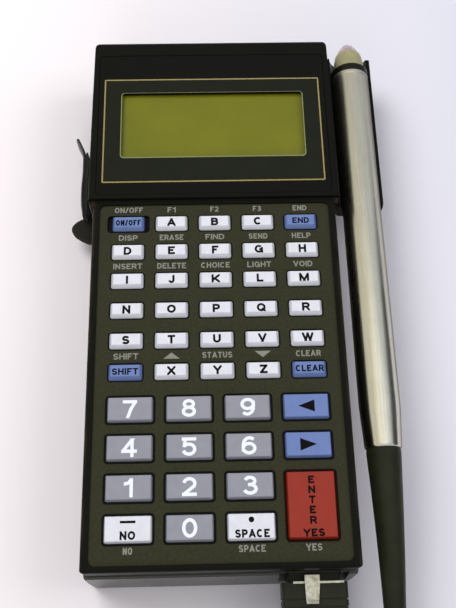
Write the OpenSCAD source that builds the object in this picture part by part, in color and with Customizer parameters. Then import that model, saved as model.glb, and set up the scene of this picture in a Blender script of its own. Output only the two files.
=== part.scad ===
// Handheld data terminal with a barcode wand in a cradle at its side.
// +X is to the right of a person who reads it, +Y is towards the display end, and +Z is up out of the keys.
// The origin is the middle of the back face, which lies on the table.

/* [Casing] */
// Length of the casing
body_l = 182; // [170:0.5:200]
// Width of the front shell beside the keys
body_w = 79.6; // [79:0.1:84]
// Width of the head at the step
head_w = 82.8; // [82:0.1:86]
// How much narrower the head is at its far end
head_taper = 1.4; // [0.6:0.1:2.4]
// Height of the head above the table
head_h = 28; // [27:0.1:32]
// How far the head stands above the keypad's rim
step_h = 1.6; // [1:0.1:2.5]
// Distance from the far end to the step
head_l = 62.6; // [60:0.1:66]
// Wall of both shells
wall = 2; // [1.6:0.1:2.4]
// Height of the parting line
split_z = 16; // [15:0.1:17]
// How far the rear shell stands proud at the near end
rear_proud = 0.9; // [0.4:0.1:1.5]
// How far the near end of the rear shell leans out
end_lean = 1.6; // [0.5:0.1:2.5]
// Rounding of the front shell's upper edges
edge_r = 1.1; // [0.6:0.1:1.6]
// Depth of the groove along the parting line
seam_cut = 0.6; // [0.3:0.1:1]

/* [Keypad] */
// Depth of the keypad's face below its rim
panel_sink = 0.6; // [0.3:0.1:1]
// Thickness of the plate that the keys come through
panel_t = 2; // [1.6:0.1:2.2]
// Width of the rim beside the keypad's face
panel_rim = 2.3; // [1.6:0.1:2.6]
// How far a key stands above the keypad's face
key_rise = 1.2; // [0.8:0.1:1.4]
// How far a key goes down
key_travel = 1; // [0.6:0.1:1.1]
// Gap round a key
key_gap = 0.35; // [0.25:0.05:0.4]
// Sideways pitch of the small keys
small_pitch_x = 14; // [13.5:0.1:14.4]
// Lengthwise pitch of the small keys
small_pitch_y = 10.05; // [9.8:0.05:10.2]
// Width of a small key
small_w = 10.3; // [9.5:0.1:10.8]
// Length of a small key
small_l = 5.1; // [4.6:0.1:5.6]
// Distance from the step to the first row of keys
first_row = 8.4; // [8:0.1:9]
// Sideways pitch of the large keys
large_pitch_x = 17.55; // [17:0.05:18]
// Lengthwise pitch of the large keys
large_pitch_y = 11.6; // [11.2:0.05:11.8]
// Width of a large key
large_w = 13.7; // [13:0.1:14.2]
// Length of a large key
large_l = 7.6; // [7:0.1:8]
// Distance from the last small row to the first large row
row_break = 11.7; // [11.4:0.1:12]
// Width of the shallow well round the power key
power_well_w = 13.7; // [12.5:0.1:13.8]

/* [Display] */
// Width of the display's face
view_w = 62; // [58:0.5:64]
// Length of the display's face
view_l = 25.5; // [23:0.5:27]
// Distance from the far end to the middle of the display
view_from_end = 34.4; // [33:0.1:35]
// Width of the bezel plate
bezel_w = 77.6; // [76:0.1:78]
// Length of the bezel plate
bezel_l = 54.8; // [54:0.1:56]
// Thickness of the bezel plate
bezel_t = 1.3; // [1:0.1:1.5]

/* [Wand] */
// Diameter of the wand's tube
wand_d = 12.8; // [12:0.1:13.2]
// Length of the wand's tube
wand_l = 134.5; // [128:0.5:138]
// Length of the nose with the ring behind it
nose_l = 14.6; // [14:0.1:15]
// Distance from the side of the casing to the wand's axis
wand_out = 8.4; // [8.4:0.1:10]
// Height of the wand's axis
wand_z = 19; // [18:0.1:20]
// Length of the soft boot behind the tube
boot_l = 64.5; // [60:0.5:66]
// How far the boot sags at its end
boot_sag = 9; // [6:0.5:9]
// Length of the cradle
cradle_l = 61; // [56:0.5:62]
// Wall of the cradle
cradle_wall = 1.4; // [1:0.1:1.8]
// Height of the cradle's outer wall
cradle_top = 17.5; // [16:0.1:18]

/* [Battery] */
// Diameter of a cell
cell_d = 14; // [13.5:0.1:14.2]
// Length of a cell
cell_l = 50; // [44:0.5:50.5]
// Thickness of the sliding door
door_t = 2.2; // [1.8:0.1:2.4]
// Length of the sliding door
door_l = 58; // [58:0.5:60]

/* [Plug] */
// Width of the plug's hood
hood_w = 19.1; // [18:0.1:20]
// Length of the plug's hood
hood_l = 18.6; // [17:0.1:20]
// Height of the plug's hood
hood_h = 9.6; // [8.5:0.1:10.5]
// Distance from the casing's middle to the plug
plug_x = 27; // [26:0.1:28]
// Height of the plug's middle
plug_z = 11.8; // [11:0.1:12]
// Number of grip grooves across the hood
grip_count = 6; // [3:1:6]

/* [Strap and cord] */
// Width of the hand strap
strap_w = 25; // [22:0.5:28]
// Thickness of the hand strap
strap_t = 1.2; // [1:0.1:1.4]
// Diameter of the cord
cord_d = 4; // [3.6:0.1:4.2]
// Number of turns in the cord's coil
coil_turns = 5.6667; // [3.6667:1:7.6667]
// Radius of the coil's outer turn
coil_r = 27.5; // [26:0.1:28]

/* [Hidden] */
SMALL_KEYS = [
    ["on_off", "a", "b", "c", "end"],
    ["d", "e", "f", "g", "h"],
    ["i", "j", "k", "l", "m"],
    ["n", "o", "p", "q", "r"],
    ["s", "t", "u", "v", "w"],
    ["shift", "x", "y", "z", "clear"],
];
LARGE_KEYS = [
    ["7", "8", "9", "left"],
    ["4", "5", "6", "right"],
    ["1", "2", "3", "enter"],
    ["no", "0", "space", ""],
];
BLUE = ["on_off", "end", "shift", "clear", "left", "right"];
WHITE_LARGE = ["no", "space"];
$fn = 64;
arc_steps = 6;
slack = 0.3;
fit = 0.15;
eps = 0.01;

// Places along the length
far_y = body_l / 2;
near_y = -body_l / 2;
step_y = far_y - head_l;
front_near_y = near_y + end_lean + rear_proud;
panel_far_y = step_y - 1.5;
panel_near_y = front_near_y + 1.9;
panel_mid_y = (panel_far_y + panel_near_y) / 2;
shoulder_l = 3.9;
first_row_y = step_y - first_row;
last_small_y = first_row_y - (len(SMALL_KEYS) - 1) * small_pitch_y;
first_large_y = last_small_y - row_break;
view_y = far_y - view_from_end;
bezel_y = step_y + 1.6 + bezel_l / 2;

// Heights
rim_z = head_h - step_h;
panel_z = rim_z - panel_sink;
plate_z = panel_z - panel_t;
key_top = panel_z + key_rise;
flange_t = 0.9;
flange_out = 0.7;
flange_top = plate_z - slack;
key_base = flange_top - flange_t;
board_top = key_base - key_travel - 0.5;
board_t = 1.6;
board_z = board_top - board_t;
head_ceiling = head_h - 3;
bezel_z = head_h - bezel_t - 0.1;
lcd_top = bezel_z - 0.2;
glass_out = 1.3;
frame_out = 4;
frame_t = 2.5;
carrier_out = 4.5;
carrier_end = 6.5;
carrier_t = 1.6;
chip_w = 14;
chip_l = 20;
chip_t = 1.6;
chip_pitch = 22;
link_w = 44;
link_l = 9;
link_t = 2;
back_t = 2.4;

// Half widths
half_w = body_w / 2;
half_head = head_w / 2;
half_far = (head_w - head_taper) / 2;
panel_w = body_w - 2 * panel_rim;
panel_l = panel_far_y - panel_near_y;
rear_lean = 1.5;

// Wand and cradle
wand_x = half_head + wand_out;
wand_r = wand_d / 2;
tube_far_y = far_y - 10.4;
ring_l = 2.6;
tube_near_y = tube_far_y - wand_l;
tube_end_d = wand_d - 1.5;
nose_base_d = wand_d - 1.2;
boot_end_d = cord_d + 1;
cradle_far_y = far_y - 1;
cradle_near_y = cradle_far_y - cradle_l;
cradle_r = wand_r + slack;
cradle_base = wand_z - cradle_r - cradle_wall;
cradle_inner_top = cradle_top + 1;

// Screws and posts
post_x = half_w - 6.6;
post_d = 6;
screw_hole_d = 2.6;
screw_head_d = 5.4;
screw_sink = 1.5;
screw_y = [front_near_y + 4.5, far_y - 12];
board_post_y = step_y - 8;

// Battery and door
cell_count = 3;
cell_pitch = cell_d + 0.4;
bay_w = cell_count * cell_pitch + 2 * slack;
door_lip = 1.2;
door_w = bay_w - 2 * door_lip;
door_rail = 1.4;
door_low = 0.3;
door_face_t = door_t - 1;
door_far_y = near_y + door_l;
rail_t = 1.1;
lip_t = 1.2;
cell_z = door_low + door_t + slack + cell_d / 2;
cell_near_y = front_near_y + wall + lip_t + slack + fit;
bay_wall = 1.2;
bay_top = cell_z + 1;

// Plug
plug_near_y = near_y - 0.5 - hood_l;
relief_l = 10;
relief_end_y = plug_near_y - relief_l;
relief_d = cord_d + 1.6;
port_w = hood_w + 1.2;
port_low = plug_z - hood_h / 2 - 0.6;
nose_w = hood_w - 3.6;
nose_h = hood_h - 3.4;
grip_pitch = 2.2;
nose_in = 3.5;
port_sink = 2.3;
tongue_w = 4.3;
tongue_l = 8;
tongue_x = -0.9;
flange_w = hood_w - 4.4;
tongue_t = 0.7;

// Strap
strap_y = step_y + 2 + strap_w / 2;
strap_low = 0.2;
strap_end_x = half_w - 4;
strap_turn_x = half_head - 2.8;
strap_in_x = half_head + 2.4;
strap_rise = 6;
strap_top = 13;
tab_z = 6.6;

// Cord
cord_r = cord_d / 2;
coil_step = cord_d + 0.5;
coil_rings = 24;
coil_x = plug_x + coil_r;
coil_y = -175;
coil_in = 180;
coil_out = coil_in + 360 * coil_turns;
cord_gap = 0.3;
boot_end = [wand_x, tube_near_y - boot_l, wand_z - boot_sag];
boot_slope = 2 * boot_sag / boot_l;
lead_in = boot_end - cord_gap * [0, 1, boot_slope];
PLUG_ROUTE = [
    [plug_x, relief_end_y, plug_z], [plug_x, -123, plug_z], [27, -128, 11.2], [26.8, -133, 9.3],
    [26.4, -138, 6.8], [26, -143, 4.5], [25.8, -148, 2.9], [25.9, -153, 2.2], [26.2, -158, cord_r],
    [26.7, -163, cord_r], [plug_x, -168, cord_r], [plug_x, -171, cord_r],
];
WAND_ROUTE = [
    [60, -146, 6.4], [57.4, -143.2, 6.1], [55.1, -139.8, 5.7], [53.2, -136.2, 5.4],
    [51.7, -132.3, 5.5], [50.7, -128.4, 6.2], [50, -124.4, 7.5],
];

// A vector of length 1
function unit(v) = v / norm(v);

// The arc that rounds corner b between a and c, or b alone where r is 0
function corner_arc(a, b, c, r) =
    r <= 0 ? [b] :
    let (
        u = unit(a - b),
        v = unit(c - b),
        half = acos(u * v) / 2,
        centre = b + unit(u + v) * r / sin(half),
        p = b + u * r / tan(half) - centre,
        q = b + v * r / tan(half) - centre,
        start = atan2(p[1], p[0]),
        turn = atan2(q[1], q[0]) - start,
        sweep = turn > 180 ? turn - 360 : turn < -180 ? turn + 360 : turn
    )
    [
        for (i = [0:arc_steps])
            let (a = start + sweep * i / arc_steps)
                centre + r * [cos(a), sin(a)]
    ];

// An outline through corners given as [x, y, radius]
function rounded(corners) =
    let (n = len(corners), p = [for (c = corners) [c[0], c[1]]])
    [for (i = [0:n - 1]) each corner_arc(p[(i + n - 1) % n], p[i], p[(i + 1) % n], corners[i][2])];

// A rectangle about the origin with rounded corners
function plate(w, l, r) =
    rounded([[w / 2, -l / 2, r], [w / 2, l / 2, r], [-w / 2, l / 2, r], [-w / 2, -l / 2, r]]);

// An outline and its mirror image across the Y axis, as one closed outline
function both_sides(right) =
    concat(right, [for (i = [len(right) - 1:-1:0]) [-right[i][0], right[i][1], right[i][2]]]);

// The casing's plan: straight beside the keys, a shoulder at the step, and a head that narrows
function casing_plan(grow, near, far, near_r, far_r) = rounded(both_sides([
    [half_w + grow, near, near_r],
    [half_w + grow, step_y - shoulder_l, 1],
    [half_head + grow, step_y, 1],
    [half_far + grow, far, far_r],
]));

// The plan of the wall's inner face, grown outwards, and by more at the near end
function inner_plan(grow, near_grow) =
    casing_plan(grow - wall, front_near_y + wall - grow - near_grow, far_y - wall + grow, 0.8, 1);

// A solid that runs along Y, from its outline in X and Z
module along_y(y0, y1, outline) {
    translate([0, y1, 0])
        rotate([90, 0, 0])
            linear_extrude(y1 - y0)
                polygon(outline);
}

// A solid that runs along X, from its outline in Y and Z
module along_x(x0, x1, outline) {
    translate([x0, 0, 0])
        rotate([90, 0, 90])
            linear_extrude(x1 - x0)
                polygon(outline);
}

// A solid that runs along Z, from its outline in X and Y
module along_z(z0, z1, outline) {
    translate([0, 0, z0])
        linear_extrude(z1 - z0)
            polygon(outline);
}

// A length of the front shell with its long upper edges rounded
module crown(half, y0, y1, top) {
    along_y(y0, y1, rounded([
        [half, split_z - 1, 0], [half, top, edge_r], [-half, top, edge_r], [-half, split_z - 1, 0],
    ]));
}

// The front shell as a solid block: the keypad's part, and the head that stands above it
module front_block() {
    intersection() {
        along_z(split_z, head_h, casing_plan(0, front_near_y, far_y, 1.3, 3));
        along_x(-half_head - 1, half_head + 1, rounded([
            [front_near_y, split_z - 1, 0],
            [far_y, split_z - 1, 0],
            [far_y, head_h, 1.8],
            [step_y, head_h, 0.5],
            [step_y, rim_z, 0.4],
            [front_near_y, rim_z, edge_r],
        ]));
        union() {
            crown(half_w, near_y, step_y - shoulder_l / 2, rim_z);
            crown(half_head, step_y - shoulder_l / 2, far_y + 1, head_h);
        }
    }
}

// Where each key is: its name, place and size
function small_key(r, c) =
    [SMALL_KEYS[r][c], (c - 2) * small_pitch_x, first_row_y - r * small_pitch_y, small_w, small_l];
function large_key(r, c) =
    let (x = (c - 1.5) * large_pitch_x, y = first_large_y - r * large_pitch_y)
        LARGE_KEYS[r][c] == "enter"
        ? ["enter", x, y - large_pitch_y / 2, large_w + 0.6, large_l + large_pitch_y]
        : [LARGE_KEYS[r][c], x, y, large_w, large_l];
KEYS = concat(
    [for (r = [0:len(SMALL_KEYS) - 1]) for (c = [0:4]) small_key(r, c)],
    [for (r = [0:len(LARGE_KEYS) - 1]) for (c = [0:3]) if (LARGE_KEYS[r][c] != "") large_key(r, c)]
);

// The gap round a key: wider round the large ones
function is_large(k) = k[4] > small_l + 0.1;
function hole_gap(k) = is_large(k) ? key_gap + 0.2 : key_gap;

// A round rod or bore at each screw
module at_screws(low, high, d) {
    for (x = [-post_x, post_x])
        for (y = screw_y)
            translate([x, y, low])
                cylinder(d = d, h = high - low);
}

module front_shell() {
    color([0.1, 0.1, 0.09])
        difference() {
            union() {
                difference() {
                    front_block();
                    along_z(split_z - 1, plate_z, inner_plan(0, 0));
                    translate([0, step_y + head_l / 2, 0])
                        along_z(plate_z - 1, head_ceiling,
                            plate(2 * (half_far - wall), head_l - 2 * wall, 1));
                }
                intersection() {
                    at_screws(split_z, head_ceiling, post_d - 1);
                    union() {
                        along_z(board_top + 0.1, head_h, plate(2 * body_w, 2 * body_l, 1));
                        translate([0, far_y, 0])
                            along_z(split_z, head_h, plate(body_w, head_l, 1));
                    }
                }
            }
            // Face of the keypad
            translate([0, panel_mid_y, 0])
                along_z(panel_z, head_h, plate(panel_w, panel_l, 2));
            // Holes for the keys
            for (k = KEYS)
                translate([k[1], k[2], 0])
                    along_z(plate_z - 1, head_h, plate(k[3] + 2 * hole_gap(k), k[4] + 2 * hole_gap(k), 0.9));
            // Well round the power key
            translate([KEYS[0][1], KEYS[0][2], 0])
                along_z(panel_z - panel_t / 2, head_h, plate(power_well_w, small_l + 1.1, 1.2));
            // Seat of the bezel, and the window under it
            translate([0, bezel_y, 0])
                along_z(bezel_z, head_h + 1, plate(bezel_w + 2 * fit, bezel_l + 2 * fit, 1.5));
            translate([0, view_y, 0])
                along_z(head_ceiling - 1, head_h, plate(view_w + 3.4, view_l + 3.4, 0.6));
            at_screws(split_z - 1, panel_z - 1.2, screw_hole_d - 0.6);
        }
}

// The rear shell as a solid block, which leans out at its near end
module rear_block(shrink, low) {
    near = front_near_y - rear_proud + shrink;
    intersection() {
        along_z(low, split_z, casing_plan(0.2 - shrink, near_y + shrink, far_y - shrink, 3, 3.2));
        along_x(-half_head - 1, half_head + 1, rounded([
            [near_y + shrink + 1, low, 1.5],
            [near_y + shrink, low + 2.2, 1.5],
            [near, split_z - seam_cut, 0],
            [near + seam_cut, split_z, 0],
            [far_y - shrink - seam_cut, split_z, 0],
            [far_y - shrink, split_z - seam_cut, 0],
            [far_y - shrink - rear_lean, low, 2],
        ]));
        along_y(near_y - 1, far_y + 1, rounded(both_sides([
            [half_head - rear_lean - shrink, low, 3],
            [half_head + 0.2 - shrink, split_z - seam_cut, 0],
            [half_head + 0.2 - shrink - seam_cut, split_z, 0],
        ])));
    }
}

// The door's outline across the casing: a face plate with a rail along each side
function door_profile(grow) =
    let (low = door_low - grow, mid = door_low + door_face_t - grow, top = door_low + door_t + grow)
    both_sides_plain([
        [door_w / 2 + grow, low == door_low ? low : -1],
        [door_w / 2 + grow, mid],
        [door_w / 2 + door_rail + grow, mid],
        [door_w / 2 + door_rail + grow, top],
    ]);
function both_sides_plain(right) =
    concat(right, [for (i = [len(right) - 1:-1:0]) [-right[i][0], right[i][1]]]);

// A slice of that plan, for the lip
module lip_ring(low, high, grow, near_grow) {
    along_z(low, high, inner_plan(grow, near_grow));
}

// The way of the hand strap: across the back, and round the left edge
module strap_channel() {
    depth = strap_low + strap_t + slack;
    along_y(strap_y - strap_w / 2 - slack, strap_y + strap_w / 2 + slack, [
        [strap_end_x + slack, -1],
        [strap_end_x + slack, depth],
        [-strap_turn_x + 0.2, depth],
        [-strap_in_x + 0.35, strap_rise + 0.35],
        [-body_w, strap_rise + 0.35],
        [-body_w, -1],
    ]);
}

module rear_shell() {
    color([0.14, 0.14, 0.13])
        difference() {
            union() {
                difference() {
                    rear_block(0, 0);
                    translate([0, 0, back_t - wall])
                        rear_block(wall, wall);
                }
                // Lip that the front shell closes over
                difference() {
                    union() {
                        lip_ring(split_z - 3, split_z, 0.5, rear_proud);
                        lip_ring(split_z - 1, split_z + 1.2, -fit, 0);
                    }
                    lip_ring(split_z - 4, split_z + 2, -lip_t, 0);
                    translate([plug_x - port_w / 2, near_y - 1, 0])
                        cube([port_w, 12, split_z + 2]);
                }
                // Thick wall behind the socket, and thick back over the strap's channel
                translate([plug_x - port_w / 2 - 1, near_y + 2.4, back_t - 1])
                    cube([port_w + 2, 1.4, split_z - back_t + 0.9]);
                translate([-half_w + wall, strap_y - strap_w / 2 - 1.5, back_t - 0.5])
                    cube([body_w - 2 * wall, strap_w + 3, 1.7]);
                at_screws(back_t - 1, split_z - 0.1, post_d);
                for (x = [-post_x, post_x])
                    translate([x, board_post_y, back_t - 1])
                        cylinder(d = post_d - 1, h = board_z - back_t + 1);
                for (x = [-post_x, post_x])
                    translate([x, screw_y[0], back_t - 1])
                        cylinder(d = post_d - 1, h = board_z - back_t + 1);
                // Walls and rails of the battery bay
                for (side = [-1, 1])
                    translate([side * (bay_w / 2 + bay_wall / 2) - bay_wall / 2, near_y + 3, back_t - 1])
                        cube([bay_wall, door_l - 3, bay_top - back_t + 1]);
                translate([-bay_w / 2 - bay_wall, door_far_y + slack, back_t - 1])
                    cube([bay_w + 2 * bay_wall, bay_wall, bay_top - back_t + 1]);
                for (side = [-1, 1])
                    translate([side * (door_w / 2 + 1.8) - 1.8, near_y + 3, door_low + door_t])
                        cube([3.6, door_l - 3, slack + rail_t]);
            }
            // Way for the sliding door, and the mouth of the bay
            along_y(near_y - 1, door_far_y + slack, door_profile(slack));
            translate([-door_w / 2, cell_near_y - slack, -1])
                cube([door_w, cell_l + 2 * slack, bay_top]);
            // Socket for the plug
            translate([plug_x - port_w / 2, near_y - 1, port_low])
                cube([port_w, port_sink + 1, split_z - port_low + 1]);
            translate([plug_x - nose_w / 2 - slack, near_y - 1, plug_z - nose_h / 2 - slack])
                cube([nose_w + 2 * slack, nose_in + 1 + slack, nose_h + 2 * slack]);
            strap_channel();
            at_screws(-1, split_z, screw_hole_d);
            at_screws(-1, screw_sink, screw_head_d);
        }
}

module display_bezel() {
    color([0.05, 0.05, 0.05])
        difference() {
            translate([0, bezel_y, 0])
                along_z(bezel_z, bezel_z + bezel_t, plate(bezel_w, bezel_l, 1.4));
            translate([0, view_y, 0])
                along_z(bezel_z - 1, head_h + 1, plate(view_w, view_l, 0.5));
        }
}

module lcd_module() {
    frame_top = head_ceiling - 0.1;
    frame_low = frame_top - frame_t;
    color([0.45, 0.47, 0.18])
        translate([0, view_y, 0])
            union() {
                along_z(frame_low, frame_top,
                    plate(view_w + 2 * frame_out, view_l + 2 * (frame_out + 1), 0.8));
                along_z(frame_top - 0.1, lcd_top, plate(view_w + 2 * glass_out, view_l + 2 * glass_out, 0.4));
                along_z(
                    frame_low - carrier_t,
                    frame_low,
                    plate(view_w + 2 * carrier_out, view_l + 2 * carrier_end, 0.6)
                );
            }
}

module circuit_board() {
    board_near_y = front_near_y + wall + slack;
    board_l = panel_far_y - wall - 1 - board_near_y;
    color([0.12, 0.35, 0.2])
        translate([0, board_near_y + board_l / 2, 0])
            difference() {
                union() {
                    along_z(board_z, board_top, plate(body_w - 2 * wall - 4, board_l, 1.5));
                    // Chips on the underside, past the end of the battery bay
                    for (i = [-1:1])
                        translate([i * chip_pitch, board_l / 2 - 1.1 * chip_l, board_z - chip_t])
                            linear_extrude(chip_t + 0.2)
                                square([chip_w, chip_l], center = true);
                    translate([0, board_l / 2 - 2.1 * chip_l, board_z - link_t])
                        linear_extrude(link_t + 0.2)
                            square([link_w, link_l], center = true);
                }
                translate([0, -board_near_y - board_l / 2, 0])
                    at_screws(board_z - 3, board_top + 1, screw_hole_d);
            }
}

module battery_cells() {
    color([0.3, 0.45, 0.3])
        for (i = [0:cell_count - 1])
            translate([(i - (cell_count - 1) / 2) * cell_pitch, cell_near_y, cell_z])
                rotate([-90, 0, 0])
                    union() {
                        cylinder(d = cell_d, h = cell_l - 1.2);
                        cylinder(d = cell_d - 1.4, h = cell_l - 0.9);
                        cylinder(d = 5.4, h = cell_l);
                    }
}

module battery_door() {
    color([0.13, 0.13, 0.12])
        difference() {
            intersection() {
                along_y(near_y - 1, door_far_y, door_profile(0));
                rear_block(0, 0);
            }
            // Grip grooves near the far end
            for (i = [0:4])
                translate([0, door_far_y - 6 - 2.2 * i, door_low])
                    rotate([0, 90, 0])
                        cylinder(d = 1.1, h = 16, center = true);
        }
}

// The cradle: a trough whose inner wall is a little taller than its outer one
module wand_cradle() {
    inner_x = half_head + 0.5;
    color([0.09, 0.09, 0.08])
        difference() {
            along_y(cradle_near_y, cradle_far_y, rounded([
                [inner_x, cradle_base + 1.5, 1.5],
                [wand_x - 2, cradle_base, 2],
                [wand_x + 3.4, cradle_base, 4],
                [wand_x + cradle_r + cradle_wall, wand_z - 4.6, 3],
                [wand_x + cradle_r + cradle_wall, cradle_top, 0.5],
                [wand_x, cradle_top, 0],
                [wand_x, cradle_inner_top, 0],
                [inner_x, cradle_inner_top, 0.4],
            ]));
            translate([wand_x, cradle_near_y - 1, wand_z])
                rotate([-90, 0, 0])
                    cylinder(r = cradle_r, h = cradle_l + 2);
            translate([wand_x - cradle_r, cradle_near_y - 1, wand_z])
                cube([2 * cradle_r, cradle_l + 2, 2 * cradle_r]);
            // Outer wall is cut back aslant at its near end
            along_x(wand_x + 2, wand_x + cradle_r + cradle_wall + 1, [
                [cradle_near_y - 1, cradle_top + 1],
                [cradle_near_y - 1, cradle_top - 6],
                [cradle_near_y + 3, cradle_top + 1],
            ]);
        }
}

module wand_barrel() {
    color([0.75, 0.75, 0.72])
        translate([wand_x, 0, wand_z])
            rotate([90, 0, 0])
                translate([0, 0, -tube_far_y])
                    rotate_extrude()
                        polygon(wand_profile());
}

// Half section of the wand: distance along it is measured down from the tube's far end
function wand_profile() =
    let (
        tip_r = 1.5,
        base_r = nose_base_d / 2,
        tip = [for (i = [0:4]) [tip_r * sin(15 * i), tip_r * (1 - cos(15 * i)) - nose_l]]
    )
    concat(
        tip,
        [
            [0.55 * base_r, 2.9 - nose_l],
            [0.78 * base_r, 4.6 - nose_l],
            [0.92 * base_r, 6.3 - nose_l],
            [0.98 * base_r, 8.2 - nose_l],
            [base_r, -ring_l],
            [wand_r - 0.3, -ring_l],
            [wand_r, 0.3 - ring_l],
            [wand_r, -0.4],
            [wand_r - 0.35, -0.15],
            [wand_r - 0.35, 0],
            [wand_r - 0.15, 0],
            [wand_r, 0.2],
            [wand_r, wand_l - 15],
            [wand_r - 0.25, wand_l - 9],
            [tube_end_d / 2, wand_l - 0.6],
            [tube_end_d / 2 - 0.4, wand_l],
            [0, wand_l],
        ]
    );

// A tube of several radii along a path. Its rings stand square to the path and are never upright in Z.
module swept(path, radii, sides) {
    n = len(path);
    ahead = [for (i = [0:n - 1]) unit(path[min(i + 1, n - 1)] - path[max(i - 1, 0)])];
    points = [
        for (i = [0:n - 1])
            let (
                side = unit(cross(ahead[i], [0, 0, 1])),
                up = cross(side, ahead[i])
            )
            for (k = [0:sides - 1])
                path[i] + radii[i] * (cos(360 * (k + 0.5) / sides) * side + sin(360 * (k + 0.5) / sides) * up)
    ];
    walls = [
        for (i = [0:n - 2])
            for (k = [0:sides - 1])
                each [
                    [i * sides + k, i * sides + (k + 1) % sides, (i + 1) * sides + k],
                    [i * sides + (k + 1) % sides, (i + 1) * sides + (k + 1) % sides, (i + 1) * sides + k],
                ]
    ];
    start = [[for (k = [sides - 1:-1:0]) k]];
    end = [[for (k = [0:sides - 1]) (n - 1) * sides + k]];
    polyhedron(points = points, faces = concat(start, walls, end), convexity = 6);
}

// The boot's radius falls in a soft curve, and its axis sags like a bent bar
boot_rings = 14;
function boot_s(i) = boot_l * i / boot_rings;
BOOT_PATH = [
    for (i = [0:boot_rings])
        [wand_x, tube_near_y - boot_s(i), wand_z - boot_sag * pow(boot_s(i) / boot_l, 2)]
];
BOOT_RADII = [
    for (i = [0:boot_rings])
        let (t = i / boot_rings)
            boot_end_d / 2 + (tube_end_d / 2 - 0.3 - boot_end_d / 2) * pow(1 - t, 1.15)
];

module wand_boot() {
    color([0.06, 0.06, 0.06])
        swept(BOOT_PATH, BOOT_RADII, 16);
}

module data_plug() {
    hood = rounded([
        [hood_w / 2, -hood_h / 2, 1.6], [hood_w / 2, hood_h / 2, 1.2],
        [-hood_w / 2, hood_h / 2, 1.2], [-hood_w / 2, -hood_h / 2, 1.6],
    ]);
    color([0.07, 0.07, 0.07]) {
        difference() {
            union() {
                translate([plug_x, 0, plug_z])
                    along_y(plug_near_y, near_y - 0.5, hood);
                translate([plug_x, 0, plug_z])
                    along_y(near_y - 0.6, near_y + nose_in, plate(nose_w, nose_h, 1));
                // Ribbed strain relief
                translate([plug_x, plug_near_y, plug_z])
                    rotate([90, 0, 0])
                        rotate_extrude()
                            polygon(concat(
                                [[0, -1], [relief_d / 2 + 1.1, -1]],
                                [
                                    for (i = [0:4])
                                        each [
                                            [relief_d / 2 + 1.1 - 0.2 * i, relief_l * i / 5],
                                            [relief_d / 2 + 1.1 - 0.2 * i, relief_l * (i + 0.55) / 5],
                                            [relief_d / 2 + 0.5 - 0.15 * i, relief_l * (i + 0.6) / 5],
                                            [relief_d / 2 + 0.5 - 0.15 * i, relief_l * (i + 0.95) / 5],
                                        ]
                                ],
                                [[relief_d / 2 - 0.2, relief_l], [0, relief_l]]
                            ));
            }
            // Grip grooves across the top and both sides
            for (i = [0:grip_count - 1])
                translate([plug_x, near_y - 5.2 - grip_pitch * i, plug_z])
                    difference() {
                        cube([hood_w + 2, 0.5, hood_h + 2], center = true);
                        cube([hood_w - 0.9, 1, hood_h - 0.7], center = true);
                    }
        }
        // Spring tongue on top of the hood, narrower at its end, and the socket's flange under it
        translate([plug_x, 0, plug_z + hood_h / 2]) {
            intersection() {
                along_x(tongue_x - tongue_w, tongue_x + tongue_w, [
                    [near_y + 1.4, 0.4],
                    [near_y + 1.4, 0.4 + tongue_t],
                    [near_y - 0.8, 0.4 + tongue_t],
                    [near_y - tongue_l + 2.6, tongue_t],
                    [near_y - tongue_l + 1.5, tongue_t + 0.3],
                    [near_y - tongue_l + 1.5, 0],
                    [near_y - 0.8, 0],
                    [near_y - 0.8, 0.4],
                ]);
                along_z(-1, 3, [
                    [tongue_x + tongue_w / 2, near_y + 2],
                    [tongue_x - tongue_w / 2, near_y + 2],
                    [tongue_x - tongue_w / 2, near_y - 1],
                    [tongue_x - tongue_w / 2 + 0.3, near_y - tongue_l],
                    [tongue_x + tongue_w / 2 - 0.7, near_y - tongue_l],
                    [tongue_x + tongue_w / 2, near_y - 1],
                ]);
            }
            translate([-flange_w / 2 + 1, near_y - 0.9, -1])
                cube([flange_w, 0.6, 1.35]);
        }
    }
}

// The strap: flat across the back and up the left side, with a flap folded down outside it and a leather tab
module hand_strap() {
    color([0.05, 0.05, 0.05]) {
        along_y(strap_y - strap_w / 2, strap_y + strap_w / 2, rounded([
            [strap_end_x, strap_low, 0],
            [strap_end_x, strap_low + strap_t, 0],
            [-strap_turn_x, strap_low + strap_t, 1],
            [-strap_in_x, strap_rise, 2],
            [-strap_in_x, strap_top, 0.6],
            [-strap_in_x - strap_t - 0.4, strap_top, 0.6],
            [-strap_in_x - strap_t, strap_rise, 1.5],
            [-strap_turn_x - 1, strap_low, 3],
        ]));
        translate([-strap_in_x - strap_t, strap_y, 0]) {
            along_z(3.5, strap_top - 0.2, ribbon(FLAP_LINE, strap_t / 2));
            along_z(tab_z, tab_z + strap_t, rounded(TAB_CORNERS));
        }
    }
}

// The plans of the flap, from its peeled far corner, and of the tab, both from the strap's middle
FLAP_LINE = [
    [-3.4, 18.8], [-2, 15.6], [-0.7, 12.4], [-0.4, 8], [-0.4, 4], [-0.6, 0.5],
    [-0.7, -3.5], [-0.4, -8], [0.2, -12.2],
];
TAB_CORNERS = [
    [3.6, -9.8, 0], [0.4, -10.8, 1], [-4.2, -12.6, 3], [-5.6, -16.2, 2.2],
    [-1.6, -20, 3], [2.4, -21.4, 0.6], [3.6, -21, 0],
];

// An outline that runs along both sides of a line, at a distance from it
function ribbon(line, half) =
    let (
        n = len(line),
        way = [for (i = [0:n - 1]) unit(line[min(i + 1, n - 1)] - line[max(i - 1, 0)])]
    )
    concat(
        [for (i = [0:n - 1]) line[i] + half * [-way[i][1], way[i][0]]],
        [for (i = [n - 1:-1:0]) line[i] - half * [-way[i][1], way[i][0]]]
    );

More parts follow.
